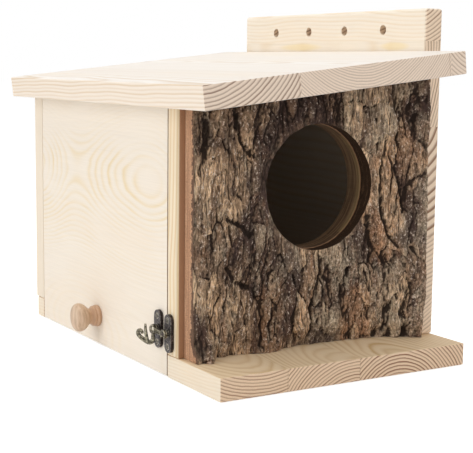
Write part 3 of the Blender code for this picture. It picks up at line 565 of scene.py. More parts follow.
bark = {
    "sideStep": 0.005,
    "thickness": 0.033,
    "leastThickness": 0.004,
    "plateRise": 0.005,
    "plateBlend": 0.0022,
    "plateStretch": 1.8,
    "grooveDepth": 0.0050,
    "grooveWidth": 0.0019,
    "cellWidth": 0.0088,
    "cellHeight": 0.030,
    "crackDepth": 0.0014,
    "crackWidth": 0.085,
    "crackCover": 0.55,
    "fissureDepth": 0.0013,
    "fissureWidth": 0.09,
    "fissureCover": 0.35,
    "layerCount": 2.6,
    "layerEdge": (0.7, 0.25),
    "layerRise": 0.0010,
    "lumpRise": 0.0019,
    "chipRise": 0.0018,
    "ridgeRise": 0.0010,
    "fibreRise": 0.00050,
    "crumbRise": 0.00080,
    "footHeight": 0.016,
    "edgeShare": 0.06,
    "edgeCalm": 0.35,
    "entryBorder": 0.010,
    "boreShare": 1.1,
    "boreRough": 0.00035,
    "boreWaves": (14, 260),
    "columns": 272,
    "rows": 268,
    "sideRows": 7,
    "sharpAngle": math.radians(62),
    "seed": 11,
    # each wave's width, height, seed offset and share
    "waves": {
        "warp": [(0.022, 0.040, 0, 0.0030), (0.006, 0.009, 1, 0.0012)],
        "warpUp": [(0.022, 0.040, 2, 0.0050)],
        "ragged": [(0.004, 0.007, 3, 0.6)],
        "broken": [(0.010, 0.012, 18, 0.55)],
        "crackGaps": [(0.014, 0.03, 7, 1.5)],
        "fissures": [(0.0070, 0.042, 19, 1.0)],
        "fissureGaps": [(0.02, 0.05, 20, 1.8)],
        "lumps": [(0.012, 0.032, 26, 1.0), (0.0060, 0.015, 27, 0.5)],
        "layers": [(0.009, 0.036, 8, 1.0), (0.0042, 0.013, 9, 0.4)],
        "fibres": [(0.00135, 0.030, 10, 1.0)],
        "fineFibres": [(0.0020, 0.012, 21, 0.5)],
        "crumbs": [(0.0031, 0.0050, 11, 1.0)],
        "fineCrumbs": [(0.0017, 0.0023, 12, 0.8)],
        "ridges": [(0.0036, 0.0230, 13, 1.0)],
        "foot": [(0.007, 1.0, 14, 0.12)],
        "pale": [(0.016, 0.030, 28, 0.25)],
        "patches": [(0.009, 0.024, 15, 1.0), (0.0030, 0.011, 22, 0.6)],
        "specks": [(0.0034, 0.0090, 16, 1.0), (0.0017, 0.0034, 23, 0.6)],
        "orange": [(0.005, 0.018, 17, 0.6), (0.0022, 0.007, 24, 0.30)],
    },
    # how far round a place it is compared, how far below a crevice is full, and the share of each
    "crevices": [(0.0010, 0.00055, 0.50), (0.0028, 0.0014, 0.5), (0.0080, 0.0034, 0.40)],
    # by the share across: how much of the thickness there is, and how much is left at the broken foot
    "swell": [(0.00, 0.39), (0.28, 0.42), (0.50, 0.37), (0.76, 0.36), (0.88, 0.58), (1.00, 1.00)],
    "foot": [(0.00, 1.6), (0.06, 1.3), (0.14, 0.6), (0.30, 1.1), (0.45, 0.55), (0.49, 0.35),
             (0.60, 0.65), (0.82, 0.6), (0.92, 0.8), (1.00, 0.95)],
    # plates: place across and up as shares of the slab, then how proud, tan, orange and grey
    "plates": [
        (0.04, 0.9, -0.1, 0.1, 0.1, 0.3), (0.14, 0.92, 0.3, 0.4, 0.1, 0.1),
        (0.28, 0.9, 0.2, 0.1, 0.1, 0.2), (0.37, 0.96, 0.1, 0.1, 0.3, 0.1),
        (0.5, 0.94, 0.0, 0.0, 0.2, 0.0), (0.6, 0.96, 0.0, 0.0, 0.1, 0.0),
        (0.72, 0.92, 0.3, 0.7, 0.0, 0.5), (0.83, 0.85, 0.8, 1.0, 0.1, 0.6),
        (0.9, 0.95, 0.3, 0.6, 0.1, 0.5), (0.98, 0.92, -0.2, 0.0, 0.1, 0.2),
        (0.99, 0.83, 0.5, 0.2, 0.0, 0.4), (0.09, 0.71, 0.7, 1.0, 0.2, 0.1),
        (0.19, 0.67, 0.4, 0.8, 0.1, 0.1), (0.21, 0.85, 0.4, 0.8, 0.2, 0.0),
        (0.91, 0.7, 0.6, 0.6, 0.8, 0.0), (0.96, 0.62, 0.2, 0.3, 0.3, 0.1),
        (0.99, 0.56, 0.5, 0.3, 0.1, 0.5), (0.05, 0.48, 0.4, 0.6, 0.2, 0.2),
        (0.19, 0.42, 0.8, 0.2, 0.2, 0.3), (0.26, 0.52, 0.4, 0.1, 0.1, 0.4),
        (0.87, 0.51, 0.7, 0.7, 0.6, 0.3), (0.98, 0.42, 0.6, 0.1, 0.0, 0.8),
        (0.07, 0.28, 0.3, 0.9, 0.1, 0.1), (0.19, 0.15, -0.3, 0.9, 0.1, 0.1),
        (0.1, 0.1, 0.2, 0.9, 0.3, 0.2), (0.24, 0.34, 0.2, 0.1, 0.1, 0.2),
        (0.31, 0.32, 0.6, 0.4, 0.4, 0.4), (0.33, 0.16, 0.2, 0.1, 0.8, 0.1),
        (0.4, 0.21, 0.5, 0.2, 0.8, 0.3), (0.44, 0.3, 0.5, 0.1, 0.0, 1.0),
        (0.5, 0.17, 0.2, 0.9, 0.5, 0.1), (0.5, 0.34, 0.3, 0.8, 0.4, 0.1),
        (0.6, 0.21, -0.3, 0.0, 0.1, 0.3), (0.58, 0.06, 0.1, 0.1, 0.0, 1.0),
        (0.63, 0.38, 0.3, 0.6, 0.1, 0.7), (0.74, 0.16, 0.5, 0.6, 0.9, 0.1),
        (0.71, 0.28, 0.4, 0.3, 0.2, 0.8), (0.8, 0.27, 0.2, 0.2, 0.3, 0.6),
        (0.84, 0.38, 0.5, 0.4, 1.0, 0.1), (0.84, 0.2, 0.5, 0.3, 0.3, 0.9),
        (0.91, 0.19, 0.7, 0.8, 0.1, 0.6), (0.98, 0.21, 1.5, 0.0, 0.0, 0.4),
        (0.97, 0.08, 0.5, 0.1, 0.0, 0.5), (0.03, 0.08, 0.8, 0.3, 0.4, 0.3),
    ],
    # deep grooves between plates: width and depth shares, and places across and up
    "grooves": [
        (1.2, 0.9, [(0.18, 0.94), (0.18, 0.89), (0.19, 0.83), (0.22, 0.79), (0.26, 0.76)]),
        (1.4, 0.9, [(0.06, 0.92), (0.06, 0.86), (0.05, 0.81), (0.04, 0.77), (0.02, 0.73)]),
        (0.8, 0.5, [(0.11, 0.83), (0.08, 0.78), (0.04, 0.73), (0.02, 0.68)]),
        (0.8, 0.5, [(0.11, 0.83), (0.14, 0.77), (0.16, 0.73)]),
        (1.3, 1.0, [(0.14, 0.55), (0.17, 0.53), (0.2, 0.51), (0.23, 0.46)]),
        (0.6, 0.5, [(0.14, 0.55), (0.14, 0.48), (0.14, 0.42), (0.14, 0.35)]),
        (1.3, 1.0, [(0.14, 0.36), (0.17, 0.31), (0.21, 0.28), (0.25, 0.25), (0.28, 0.2)]),
        (0.7, 0.5, [(0.14, 0.35), (0.14, 0.3), (0.14, 0.25), (0.14, 0.19)]),
        (2.0, 0.8, [(0.33, 0.31), (0.34, 0.25)]),
        (1.3, 0.8, [(0.34, 0.2), (0.34, 0.14), (0.33, 0.08)]),
        (1.6, 0.8, [(0.29, 0.2), (0.3, 0.13), (0.3, 0.07), (0.31, 0.0)]),
        (1.3, 0.9, [(0.43, 0.29), (0.45, 0.2), (0.44, 0.1), (0.47, 0.01)]),
        (1.5, 1.0, [(0.56, 0.36), (0.56, 0.26), (0.53, 0.16), (0.53, 0.02)]),
        (0.8, 0.6, [(0.56, 0.3), (0.6, 0.24), (0.62, 0.14)]),
        (1.5, 0.9, [(0.69, 0.28), (0.67, 0.2), (0.68, 0.12), (0.71, 0.02)]),
        (1.7, 0.8, [(0.79, 0.14), (0.8, 0.08), (0.83, 0.03)]),
        (1.6, 1.1, [(0.77, 0.48), (0.78, 0.42), (0.8, 0.38), (0.83, 0.34), (0.86, 0.29)]),
        (1.2, 0.8, [(0.9, 0.16), (0.87, 0.1), (0.86, 0.04)]),
        (2.0, 0.8, [(0.97, 0.27), (0.95, 0.2), (0.92, 0.1), (0.94, 0.03)]),
        (1.3, 0.9, [(0.98, 0.9), (0.95, 0.83), (0.95, 0.78), (0.97, 0.75), (1.0, 0.73)]),
        (1.0, 0.8, [(1.01, 0.68), (0.98, 0.64), (0.95, 0.6), (0.93, 0.56), (0.92, 0.5)]),
        (0.9, 0.8, [(0.84, 0.75), (0.84, 0.7), (0.83, 0.66), (0.83, 0.61), (0.82, 0.55), (0.83, 0.48),
                    (0.9, 0.35)]),
        (0.8, 0.5, [(0.84, 0.74), (0.86, 0.68), (0.88, 0.64), (0.9, 0.59), (0.92, 0.55)]),
        (1.1, 1.0, [(0.95, 0.35), (0.97, 0.32), (1.0, 0.3)]), (0.6, 0.5, [(0.79, 0.85), (0.79, 0.79)]),
        (0.6, 0.5, [(0.85, 0.87), (0.85, 0.82)]), (0.6, 0.6, [(0.9, 0.84), (0.9, 0.8), (0.89, 0.76)]),
    ],
    "colours": {
        "base": (0.200, 0.122, 0.080),
        "dark": (0.060, 0.036, 0.030),
        "crevice": (0.022, 0.0130, 0.0090),
        "tan": (0.62, 0.415, 0.250),
        "orange": (0.44, 0.235, 0.125),
        "grey": (0.50, 0.405, 0.285),
        "crest": (0.90, 0.75, 0.62),
        "crumb": (0.060, 0.036, 0.026),
    },
    # each noise's scales, detail and roughness
    "noises": {
        "bends": ((90, 90, 60), 1.0),
        "fibres": ((780, 780, 95), 4.0, 0.65),
        "flecks": ((600, 600, 400), 3.0, 0.7),
        "patches": ((120, 120, 65), 4.0, 0.65),
        "hollows": ((34, 34, 17), 3.0),
        "streaks": ((1100, 1100, 60), 4.0, 0.65),
        "layers": ((45, 480, 14), 3.0, 0.6),
        "crumbs": (900.0, 3.0, 0.7),
        "ragged": (260.0, 4.0, 0.7),
    },
    # where each tone starts and ends, and what it goes from and to if not from 0 to 1
    "bands": {
        "patches": (0.40, 0.60),
        "fibres": (0.38, 0.64, 0.18, 1.75),
        "specks": (0.38, 0.64, 0.24, 1.65),
        "hollows": (0.47, 0.60, 0.0, 0.85),
        "crests": (0.57, 0.65, 0.0, 0.68),
        "crestHeights": (0.45, 0.08),
        "crevices": (0.36, 0.80, 0.0, 0.94),
        "pits": (0.40, 0.30, 0.0, 0.7),
        "cutTones": (0.36, 0.64),
        "cutCrumbs": (0.35, 0.65, 0.72, 1.22),
    },
    "bend": 0.005,
    "orangeShare": 0.65,
    "greyShare": 0.70,
    "sideTones": (0.95, 1.20),
    "roughness": (0.72, 0.98),
    "relief": 0.0013,
    "streakShare": 0.4,
    "crumbEdge": 0.0012,
    "crumbShare": 0.8,
    "cutRoughness": (0.65, 0.9),
    "cutRelief": 0.0009,
    # tones of the cut layers, and where the outer bark's crumbs start, how far they reach and how
    # much further they come at the foot
    "cuts": {
        "bark_cut": {
            "tones": [(0.38, 0.19, 0.110), (0.58, 0.325, 0.190), (0.72, 0.45, 0.285)],
            "crumbStart": -0.1212, "crumbReach": 0.0036, "crumbFoot": 0.0078,
        },
        # the cut inside the entry is painted near black as shade, far darker than the side cut
        "bark_bore_painted_shade": {
            "tones": [(0.016, 0.008, 0.004), (0.060, 0.030, 0.015), (0.035, 0.018, 0.009),
                      (0.130, 0.072, 0.038)],
            "crumbStart": -0.128, "crumbReach": 0.0020, "crumbFoot": 0.0,
        },
    },
}


def eased(value):
    value = np.clip(value, 0, 1)
    return value * value * (3 - 2 * value)


def softNoise(x, y, seed):
    # smooth noise from -1 to 1 on an endless lattice
    turns = np.random.RandomState(seed).rand(256, 256) * 2 * math.pi
    column, row = np.floor(x).astype(int), np.floor(y).astype(int)
    fx, fy = x - column, y - row

    def corner(i, j):
        turn = turns[(column + i) % 256, (row + j) % 256]
        return np.cos(turn) * (fx - i) + np.sin(turn) * (fy - j)

    sx, sy = eased(fx), eased(fy)
    lower = corner(0, 0) * (1 - sx) + corner(1, 0) * sx
    upper = corner(0, 1) * (1 - sx) + corner(1, 1) * sx
    return 1.5 * (lower * (1 - sy) + upper * sy)


def cellCracks(x, y, seed):
    # how far each place is from the crack round its cell, and the cell's own number from 0 to 1
    spots = np.random.RandomState(seed).rand(3, 128, 128)
    column, row = np.floor(x).astype(int), np.floor(y).astype(int)
    first = np.full(x.shape, 9.0)
    second = first.copy()
    number = np.zeros(x.shape)
    for i in (-1, 0, 1):
        for j in (-1, 0, 1):
            at = (column + i) % 128, (row + j) % 128
            far = np.hypot(column + i + spots[0][at] - x, row + j + spots[1][at] - y)
            nearer = far < first
            second = np.where(nearer, first, np.minimum(second, far))
            number = np.where(nearer, spots[2][at], number)
            first = np.where(nearer, far, first)
    return second - first, number


def pathDistance(x, z, path):
    best = np.full(x.shape, 9.0)
    for (x1, z1), (x2, z2) in zip(path, path[1:]):
        runX, runZ = x2 - x1, z2 - z1
        t = np.clip(((x - x1) * runX + (z - z1) * runZ) / (runX**2 + runZ**2), 0, 1)
        best = np.minimum(best, np.hypot(x - x1 - runX * t, z - z1 - runZ * t))
    return best


def blurred(grid, reach):
    size = max(int(reach * 2.5), 1)
    weights = np.exp(-np.arange(-size, size + 1) ** 2 / (2 * reach**2))
    weights /= weights.sum()
    for axis in (0, 1):
        padded = np.pad(grid, [(size, size) if axis == a else (0, 0) for a in (0, 1)], mode="edge")
        grid = sum(w * np.take(padded, np.arange(i, i + grid.shape[axis]), axis=axis)
                   for i, w in enumerate(weights))
    return grid


def waves(look, name, x, z):
    return sum(share * softNoise(x / width, z / height, look["seed"] + offset)
               for width, height, offset, share in look["waves"][name])


def slabEnds(look):
    return house["left"] + look["sideStep"], house["roofEdge"], house["board"] + house["gap"]


def slabPlace(look, share, up):
    # where a place lies that is given as shares across the slab and up it
    left, right, foot = slabEnds(look)
    x = left + (right - left) * share
    return x, foot + (roofUnderside(x) - house["gap"] - foot) * up


def platesAt(look, warpX, warpZ):
    # rise, tan, orange and grey of the plates, blended by how near each one is
    spots = [slabPlace(look, *plate[:2]) for plate in look["plates"]]
    far = np.array([np.hypot(warpX - x, (warpZ - z) / look["plateStretch"]) for x, z in spots])
    weights = np.exp((far.min(0) - far) / look["plateBlend"])
    weights /= weights.sum(0)
    return [np.tensordot([plate[k] for plate in look["plates"]], weights, 1) for k in (2, 3, 4, 5)]


def groovesAt(look, x, z, warpX, warpZ):
    # deep and ragged grooves
    groove = np.zeros(x.shape)
    ragged = 1 + waves(look, "ragged", x, z)
    broken = np.clip(0.75 + waves(look, "broken", x, z), 0, 1.1)
    for width, deep, path in look["grooves"]:
        near = pathDistance(warpX, warpZ, [slabPlace(look, *point) for point in path])
        reach = look["grooveWidth"] * width * ragged
        groove = np.maximum(groove, deep * np.exp(-((near / reach) ** 2)))
    return groove * broken


def barkRelief(look, x, z, across):
    # returns the slab's thickness and its look: crevice, tan, orange and grey shares
    def plain(name):
        return waves(look, name, x, z)

    def warped(name):
        return waves(look, name, warpX, warpZ)

    left, right, foot = slabEnds(look)
    warpX, warpZ = x + plain("warp"), z + plain("warpUp")
    rise, tan, orange, grey = platesAt(look, warpX, warpZ)
    groove = groovesAt(look, x, z, warpX, warpZ)

    # long plates with cracks between them, fissures, ragged layers, lumps, fibres and crumbs
    fine, chip = cellCracks(warpX / look["cellWidth"] + 3, warpZ / look["cellHeight"], look["seed"] + 5)
    crack = np.exp(-((fine / look["crackWidth"]) ** 2))
    crack = crack * eased(plain("crackGaps") + look["crackCover"])
    fissure = np.exp(-((warped("fissures") / look["fissureWidth"]) ** 2))
    fissure = fissure * eased(plain("fissureGaps") + look["fissureCover"])
    layers = warped("layers") * look["layerCount"]
    edgeStart, edgeWidth = look["layerEdge"]
    layers = np.floor(layers) + eased((layers - np.floor(layers) - edgeStart) / edgeWidth)
    fibres = warped("fibres") + plain("fineFibres")
    crumbs = warped("crumbs") + plain("fineCrumbs")
    ridges = 1 - np.abs(warped("ridges"))
    plate = np.clip(tan + 1.1 * (chip - 0.42), 0, 1)

    height = look["plateRise"] * rise - look["grooveDepth"] * groove
    height -= look["crackDepth"] * crack + look["fissureDepth"] * fissure
    height += look["layerRise"] * layers + look["lumpRise"] * warped("lumps")
    height += look["chipRise"] * (chip - 0.5) + look["ridgeRise"] * (ridges - 0.6)
    height += look["fibreRise"] * fibres * (0.35 + 0.9 * plate) + look["crumbRise"] * crumbs * (1.1 - plate)
    fromSides = np.minimum(across, 1 - across) / look["edgeShare"]
    fromEntry = np.hypot(x - house["entryOffset"], z - house["entryHeight"]) - house["entryRadius"]
    for distance in (fromSides, fromEntry / look["entryBorder"]):
        height = height * (look["edgeCalm"] + (1 - look["edgeCalm"]) * eased(distance))
    footShare = np.interp(across, *zip(*look["foot"])) + waves(look, "foot", x, x * 0)
    whole = look["thickness"] * np.interp(across, *zip(*look["swell"])) + height
    thickness = whole * (footShare + (1 - footShare) * eased((z - foot) / look["footHeight"]))
    thickness = np.maximum(thickness, look["leastThickness"])

    # crevices are where the surface lies below its surroundings; the dark laid there later is partly the
    # bark's own dark and partly painted shade
    cell = (right - left) / look["columns"]
    below = np.zeros(x.shape)
    for reach, depth, share in look["crevices"]:
        below += share * np.clip((blurred(thickness, reach / cell) - thickness) / depth, -0.9, 1.2)
    pale = np.maximum(np.maximum(tan, 0.8 * orange), 0.9 * grey) + plain("pale")
    crevice = 0.36 + 0.62 * below + 0.10 * groove + 0.06 * fissure + 0.46 * (0.46 - pale)
    tan = tan * 0.8 - 0.05 + 0.35 * plain("patches") + 0.7 * (chip - 0.40)
    orange = orange - 0.26 + plain("orange")
    grey = grey * 0.85 + 0.45 * plain("specks") + 0.7 * (chip * 7 % 1 - 0.5) - 0.12
    return thickness, np.clip(np.stack([crevice, tan, orange, grey], -1), 0, 1)


def makeBark(look):
    foot = slabEnds(look)[2]
    back = house["wallFace"] - house["gap"]
    middle, entryHeight, radius = house["entryOffset"], house["entryHeight"], house["entryRadius"]
    shares = np.linspace(0, 1, look["columns"] + 1)
    ups = np.linspace(0, 1, look["rows"] + 1)
    across, up = np.meshgrid(shares, ups, indexing="ij")
    x, z = slabPlace(look, across, up)
    thickness, tints = barkRelief(look, x, z, across)

    # cells inside the entry go, and the rest of its edge is drawn onto the circle
    fromEntry = np.hypot(x - middle, z - entryHeight)
    inside = fromEntry < radius
    pull = np.where(inside, radius / np.maximum(fromEntry, 1e-6), 1)
    x, z = middle + (x - middle) * pull, entryHeight + (z - entryHeight) * pull
    corners = np.stack([inside[:-1, :-1], inside[1:, :-1], inside[1:, 1:], inside[:-1, 1:]])
    kept = ~corners.all(0)
    number = np.arange(x.size).reshape(x.shape)
    faces = np.stack([number[:-1, :-1], number[1:, :-1], number[1:, 1:], number[:-1, 1:]], -1)[kept]
    used = np.unique(faces)
    renumber = np.full(x.size, -1)
    renumber[used] = np.arange(len(used))
    points = np.stack([x, back - thickness, z], -1).reshape(-1, 3)[used]
    mesh = bpy.data.meshes.new("bark_face")
    mesh.from_pydata(points.tolist(), [], renumber[faces].tolist())
    tint = mesh.attributes.new("barkTint", "FLOAT_COLOR", "POINT")
    tint.data.foreach_set("color", tints.reshape(-1, 4)[used].astype(np.float32).ravel())

    # the rims are drawn back to the wall in rows, roughened a little, and closed behind
    shape = bmesh.new()
    shape.from_mesh(mesh)
    rim = [edge for edge in shape.edges if edge.is_boundary]
    boreReach = radius * look["boreShare"]
    alongTurn, inward = look["boreWaves"]
    for row in range(look["sideRows"]):
        grown = bmesh.ops.extrude_edge_only(shape, edges=rim)["geom"]
        rim = [item for item in grown if isinstance(item, bmesh.types.BMEdge) and item.is_boundary]
        for face in (item for item in grown if isinstance(item, bmesh.types.BMFace)):
            centre = face.calc_center_median()
            bored = math.hypot(centre.x - middle, centre.z - entryHeight) < boreReach
            face.material_index = 2 if bored else 1
        moved = [item for item in grown if isinstance(item, bmesh.types.BMVert)]
        for vertex in moved:
            vertex.co.y += (back - vertex.co.y) / (look["sideRows"] - row)
            flat = math.hypot(vertex.co.x - middle, vertex.co.z - entryHeight)
            if flat < boreReach and row < look["sideRows"] - 1:
                turn = math.atan2(vertex.co.z - entryHeight, vertex.co.x - middle)
                noise = softNoise(np.array(turn * alongTurn), np.array(vertex.co.y * inward), 5)
                grow = look["boreRough"] * (1 + float(noise))
                wider = (radius + grow) / flat
                vertex.co.x = middle + (vertex.co.x - middle) * wider
                vertex.co.z = entryHeight + (vertex.co.z - entryHeight) * wider
    bmesh.ops.triangle_fill(shape, edges=rim, use_beauty=True)
    bmesh.ops.recalc_face_normals(shape, faces=shape.faces)
    for face in shape.faces:
        face.smooth = True
        if face.normal.z < -0.8 and face.calc_center_median().z < foot + 0.001:
            face.material_index = 0
    shape.to_mesh(mesh)
    shape.free()
    mesh.set_sharp_from_angle(angle=look["sharpAngle"])
    return addObject("bark_face", mesh)


def barkMaterial(look):
    colours, noises, bands = look["colours"], look["noises"], look["bands"]
    material, shader, place = newMaterial("bark", **{"Specular IOR Level": 0.15})
    tint = addNode(material.node_tree, "ShaderNodeAttribute", attribute_name="barkTint").outputs
    shares = wired("ShaderNodeSeparateColor", {0: Wire(tint["Color"])}).socket.node.outputs
    crevice, tan, orange = map(Wire, shares)
    bends = vectorOf(swinging(noiseOf(place, *noises["bends"]), look["bend"]))
    grain = noiseOf(wired("ShaderNodeVectorMath", {0: place, 1: bends}, operation="ADD"), *noises["fibres"])
    flecks = noiseOf(place, *noises["flecks"])

    # the bark's own browns, and the plates' tan, orange and grey
    spread = ranged(noiseOf(place, *noises["patches"]), *bands["patches"])
    colour = painted(colours["dark"],
                     (spread, colours["base"]),
                     (tan * between(spread, 0.4, 1.0), colours["tan"]),
                     (orange * look["orangeShare"], colours["orange"]),
                     (Wire(tint["Alpha"]) * look["greyShare"], colours["grey"]))

    # fibres on the tan plates and specks elsewhere, a little darker towards the left
    fibres, specks = ranged(grain, *bands["fibres"]), ranged(flecks, *bands["specks"])
    sideways = ranged(axesOf(place)["X"], house["left"], house["roofEdge"], *look["sideTones"])
    colour = toned(colour, between(between(tan, 0.25, 1.0), specks, fibres) * sideways)

    # broad dark hollows, pale crests, and dark crevices and pits; the crevices' dark is partly the bark's
    # own and partly painted shade
    hollows = ranged(noiseOf(place, *noises["hollows"]), *bands["hollows"])
    crests = ranged(flecks, *bands["crests"]) * ranged(crevice, *bands["crestHeights"])
    colour = painted(colour,
                     (hollows * between(tan, 1.0, 0.1), colours["dark"]),
                     (crests, colours["crest"]),
                     (ranged(crevice, *bands["crevices"]), colours["crevice"]),
                     (ranged(flecks, *bands["pits"]), colours["crevice"]))
    finishShader(shader, colour, between(flecks, *look["roughness"]), grain + flecks * 0.8, look["relief"])
    return material


def barkCutMaterial(name, look, cut):
    # its layers run along the slab's outer face
    material, shader, place = newMaterial(name, **{"Specular IOR Level": 0.2})
    streaks, layers, crumbs, ragged = (noiseOf(place, *look["noises"][kind])
                                       for kind in ("streaks", "layers", "crumbs", "ragged"))
    stops = zip(np.linspace(*look["bands"]["cutTones"], len(cut["tones"])), cut["tones"])
    colour = rampOf(between(look["streakShare"], layers, streaks), stops)
    colour = toned(colour, ranged(crumbs, *look["bands"]["cutCrumbs"]))

    # dark crumbs of the outer bark break into its front edge
    axes = axesOf(place)
    foot = house["board"]
    edge = swinging(ragged, 2 * cut["crumbReach"]) + cut["crumbStart"]
    further = ranged(axes["Z"], foot, foot + look["footHeight"], cut["crumbFoot"], 0.0,
                     interpolation_type="SMOOTHSTEP")
    near = ranged(edge - further - axes["Y"], 0.0, look["crumbEdge"], 0.0, look["crumbShare"])
    colour = blend(near, colour, look["colours"]["crumb"])
    finishShader(shader, colour, between(crumbs, *look["cutRoughness"]), streaks + crumbs, look["cutRelief"])
    return material


barkFace = makeBark(bark)
barkFace.data.materials.append(barkMaterial(bark))
for cutName, cutLook in bark["cuts"].items():
    barkFace.data.materials.append(barkCutMaterial(cutName, bark, cutLook))
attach(barkFace, "house")
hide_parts("bark_slab")
print("bark has", len(barkFace.data.polygons), "faces")

# turned knob

knob = {
    "place": (-0.1163, 0.0360, 0.025),
    "diameter": 0.0245,
    "length": 0.0228,
    "sides": 72,
    "curveSteps": 5,
    "sharpAngle": math.radians(38),
    "outline": [(0.00, 1.000), (0.44, 0.992), (0.74, 0.962), (0.91, 0.905), (0.99, 0.825), (1.00, 0.745),
                (0.95, 0.655), (0.84, 0.560), (0.69, 0.480), (0.58, 0.410), (0.55, 0.345), (0.60, 0.285),
                (0.69, 0.245), (0.71, 0.205), (0.67, 0.165), (0.74, 0.130), (0.77, 0.075), (0.75, 0.000)],
    "wood": [(0.3, (0.44, 0.285, 0.18)), (0.5, (0.58, 0.40, 0.265)), (0.7, (0.68, 0.51, 0.36))],
    "footWood": (0.56, 0.30, 0.165),
    "footBand": (-0.55, -0.30),
    "footShare": 0.45,
    "poreWood": (0.30, 0.17, 0.09),
    "poreBand": (0.60, 0.72, 0.0, 0.45),
    "poreScales": (2400, 2400, 160),
    "rayScales": (420, 260, 60),
    "turningMarks": 9000.0,
    "turningRelief": 0.3,
    "roughness": (0.40, 0.56),
    "relief": 0.00004,
}

# the side face's axes: x towards the front, y up and z outward
sideTurn = Matrix(((0, 0, -1), (-1, 0, 0), (0, 1, 0))).to_4x4()


def smoothPoints(points, steps):
    rows = [np.array(point, float) for point in points]
    rows = [2 * rows[0] - rows[1], *rows, 2 * rows[-1] - rows[-2]]
    result = []
    for a, b, c, d in zip(rows, rows[1:], rows[2:], rows[3:]):
        for t in np.arange(steps) / steps:
            result.append(b + 0.5 * ((c - a) * t + (2 * a - 5 * b + 4 * c - d) * t**2
                                     + (3 * b - a - 3 * c + d) * t**3))
    return [*result, rows[-2]]


def turnedShape(name, profile, look):
    # a closed turned solid from radius and height pairs, running from its outer end inward
    sides = look["sides"]
    turns = np.arange(sides) * 2 * math.pi / sides
    points, rings = [], []
    for radius, height in profile:
        if radius < 1e-7:
            rings.append([len(points)] * sides)
            points.append((0, 0, height))
        else:
            rings.append(list(range(len(points), len(points) + sides)))
            points += [(radius * math.cos(t), radius * math.sin(t), height) for t in turns]
    faces = []
    for first, second in zip(rings, rings[1:]):
        for i in range(sides):
            j = (i + 1) % sides
            corner = [first[i], second[i], second[j], first[j]]
            faces.append(tuple(dict.fromkeys(corner)))
    mesh = bpy.data.meshes.new(name)
    mesh.from_pydata(points, [], faces)
    mesh.transform(Matrix.Translation(look["place"]) @ sideTurn)
    mesh.shade_smooth()
    mesh.set_sharp_from_angle(angle=look["sharpAngle"])
    return addObject(name, mesh)


def hardwoodMaterial(look):
    material, shader, place = newMaterial("turned_hardwood")
    centred = {"Vector": place, "Location": tuple(-value for value in look["place"])}
    local = wired("ShaderNodeMapping", centred)
    pores = noiseOf(local, look["poreScales"])
    rays = noiseOf(local, look["rayScales"], 3.0)
    # the neck and foot are a little redder than the crown
    outward = axesOf(local)["X"]
    start, end = (share * look["length"] for share in look["footBand"])
    colour = painted(rampOf(rays, look["wood"]),
                     (ranged(outward, start, end, 0.0, look["footShare"]), look["footWood"]),
                     (ranged(pores, *look["poreBand"]), look["poreWood"]))
    turning = maths("SINE", outward * look["turningMarks"]) * look["turningRelief"]
    finishShader(shader, colour, between(rays, *look["roughness"]), turning + pores, look["relief"])
    return material


knobProfile = [(max(radius, 0) * knob["diameter"] / 2, height * knob["length"])
               for radius, height in smoothPoints(knob["outline"], knob["curveSteps"])]
knobProfile[0] = (0, knob["length"])
knobProfile.append((0, 0))
turnedKnob = turnedShape("turned_knob", knobProfile, knob)
turnedKnob.data.materials.append(hardwoodMaterial(knob))
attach(turnedKnob, "door")
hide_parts("door_knob")
print("knob is turned")

# metals

bronzeFinish = {
    "metallic": 0.92,
    "cloud": (520.0, 4.0, 0.6),
    "grit": 2600.0,
    "steps": (0.36, 0.52, 0.68),
    "wearAndGlintCorners": (0.985, 0.80),
    "wearAndGlintClouds": (0.35, 0.60, 0.15),
    "brass": (0.74, 0.68, 0.54),
    "roughness": (0.16, 0.42),
    "relief": 0.00016,
}
bronzeLooks = {
    "dark_bronze": {
        "dark": (0.014, 0.011, 0.012), "middle": (0.040, 0.032, 0.033), "light": (0.115, 0.092, 0.088),
        "wearAndGlintReach": 0.0009, "wearAndGlint": 0.8,
    },
    # the hook and rivet are lighter copies of the same bronze, as painted highlight on them
    "hook_bronze_painted_highlight": {
        "dark": (0.030, 0.026, 0.018), "middle": (0.13, 0.115, 0.080), "light": (0.40, 0.36, 0.26),
        "wearAndGlintReach": 0.0011, "wearAndGlint": 1.0,
    },
    "rivet_bronze_painted_highlight": {
        "dark": (0.06, 0.052, 0.040), "middle": (0.24, 0.215, 0.165), "light": (0.62, 0.57, 0.46),
        "wearAndGlintReach": 0.0008, "wearAndGlint": 1.0,
    },
}
zincLook = {
    "cloud": (700.0, 3.0, 0.6),
    "scratches": (4000, 500, 4000),
    "tones": [(0.3, (0.50, 0.50, 0.48)), (0.7, (0.70, 0.70, 0.67))],
    "roughness": (0.25, 0.45),
    "relief": 0.00002,
}


def bronzeMaterial(name, look):
    look = {**bronzeFinish, **look}
    material, shader, place = newMaterial(name, Metallic=look["metallic"])
    tree = material.node_tree
    cloud, grit = noiseOf(place, *look["cloud"]), noiseOf(place, look["grit"])
    colour = rampOf(cloud, zip(look["steps"], (look["dark"], look["middle"], look["light"])))
    # corners and raised edges turn a brighter olive brass: partly wear and partly painted highlight
    rounded = wireFrom(tree, "ShaderNodeBevel", {"Radius": look["wearAndGlintReach"]}, samples=8)
    flat = wireFrom(tree, "ShaderNodeNewGeometry", output="Normal")
    match = wired("ShaderNodeVectorMath", {0: rounded, 1: flat}, "Value", operation="DOT_PRODUCT")
    wearAndGlint = ranged(match, *look["wearAndGlintCorners"]) * ranged(cloud, *look["wearAndGlintClouds"], look["wearAndGlint"])
    colour = blend(wearAndGlint, colour, look["brass"])
    finishShader(shader, colour, between(cloud, *look["roughness"]), cloud + grit, look["relief"])
    return material


def zincMaterial(look):
    material, shader, place = newMaterial("zinc_steel", Metallic=1.0)
    scratch = noiseOf(place, look["scratches"])
    colour = rampOf(noiseOf(place, *look["cloud"]), look["tones"])
    finishShader(shader, colour, between(scratch, *look["roughness"]), scratch, look["relief"])
    return material


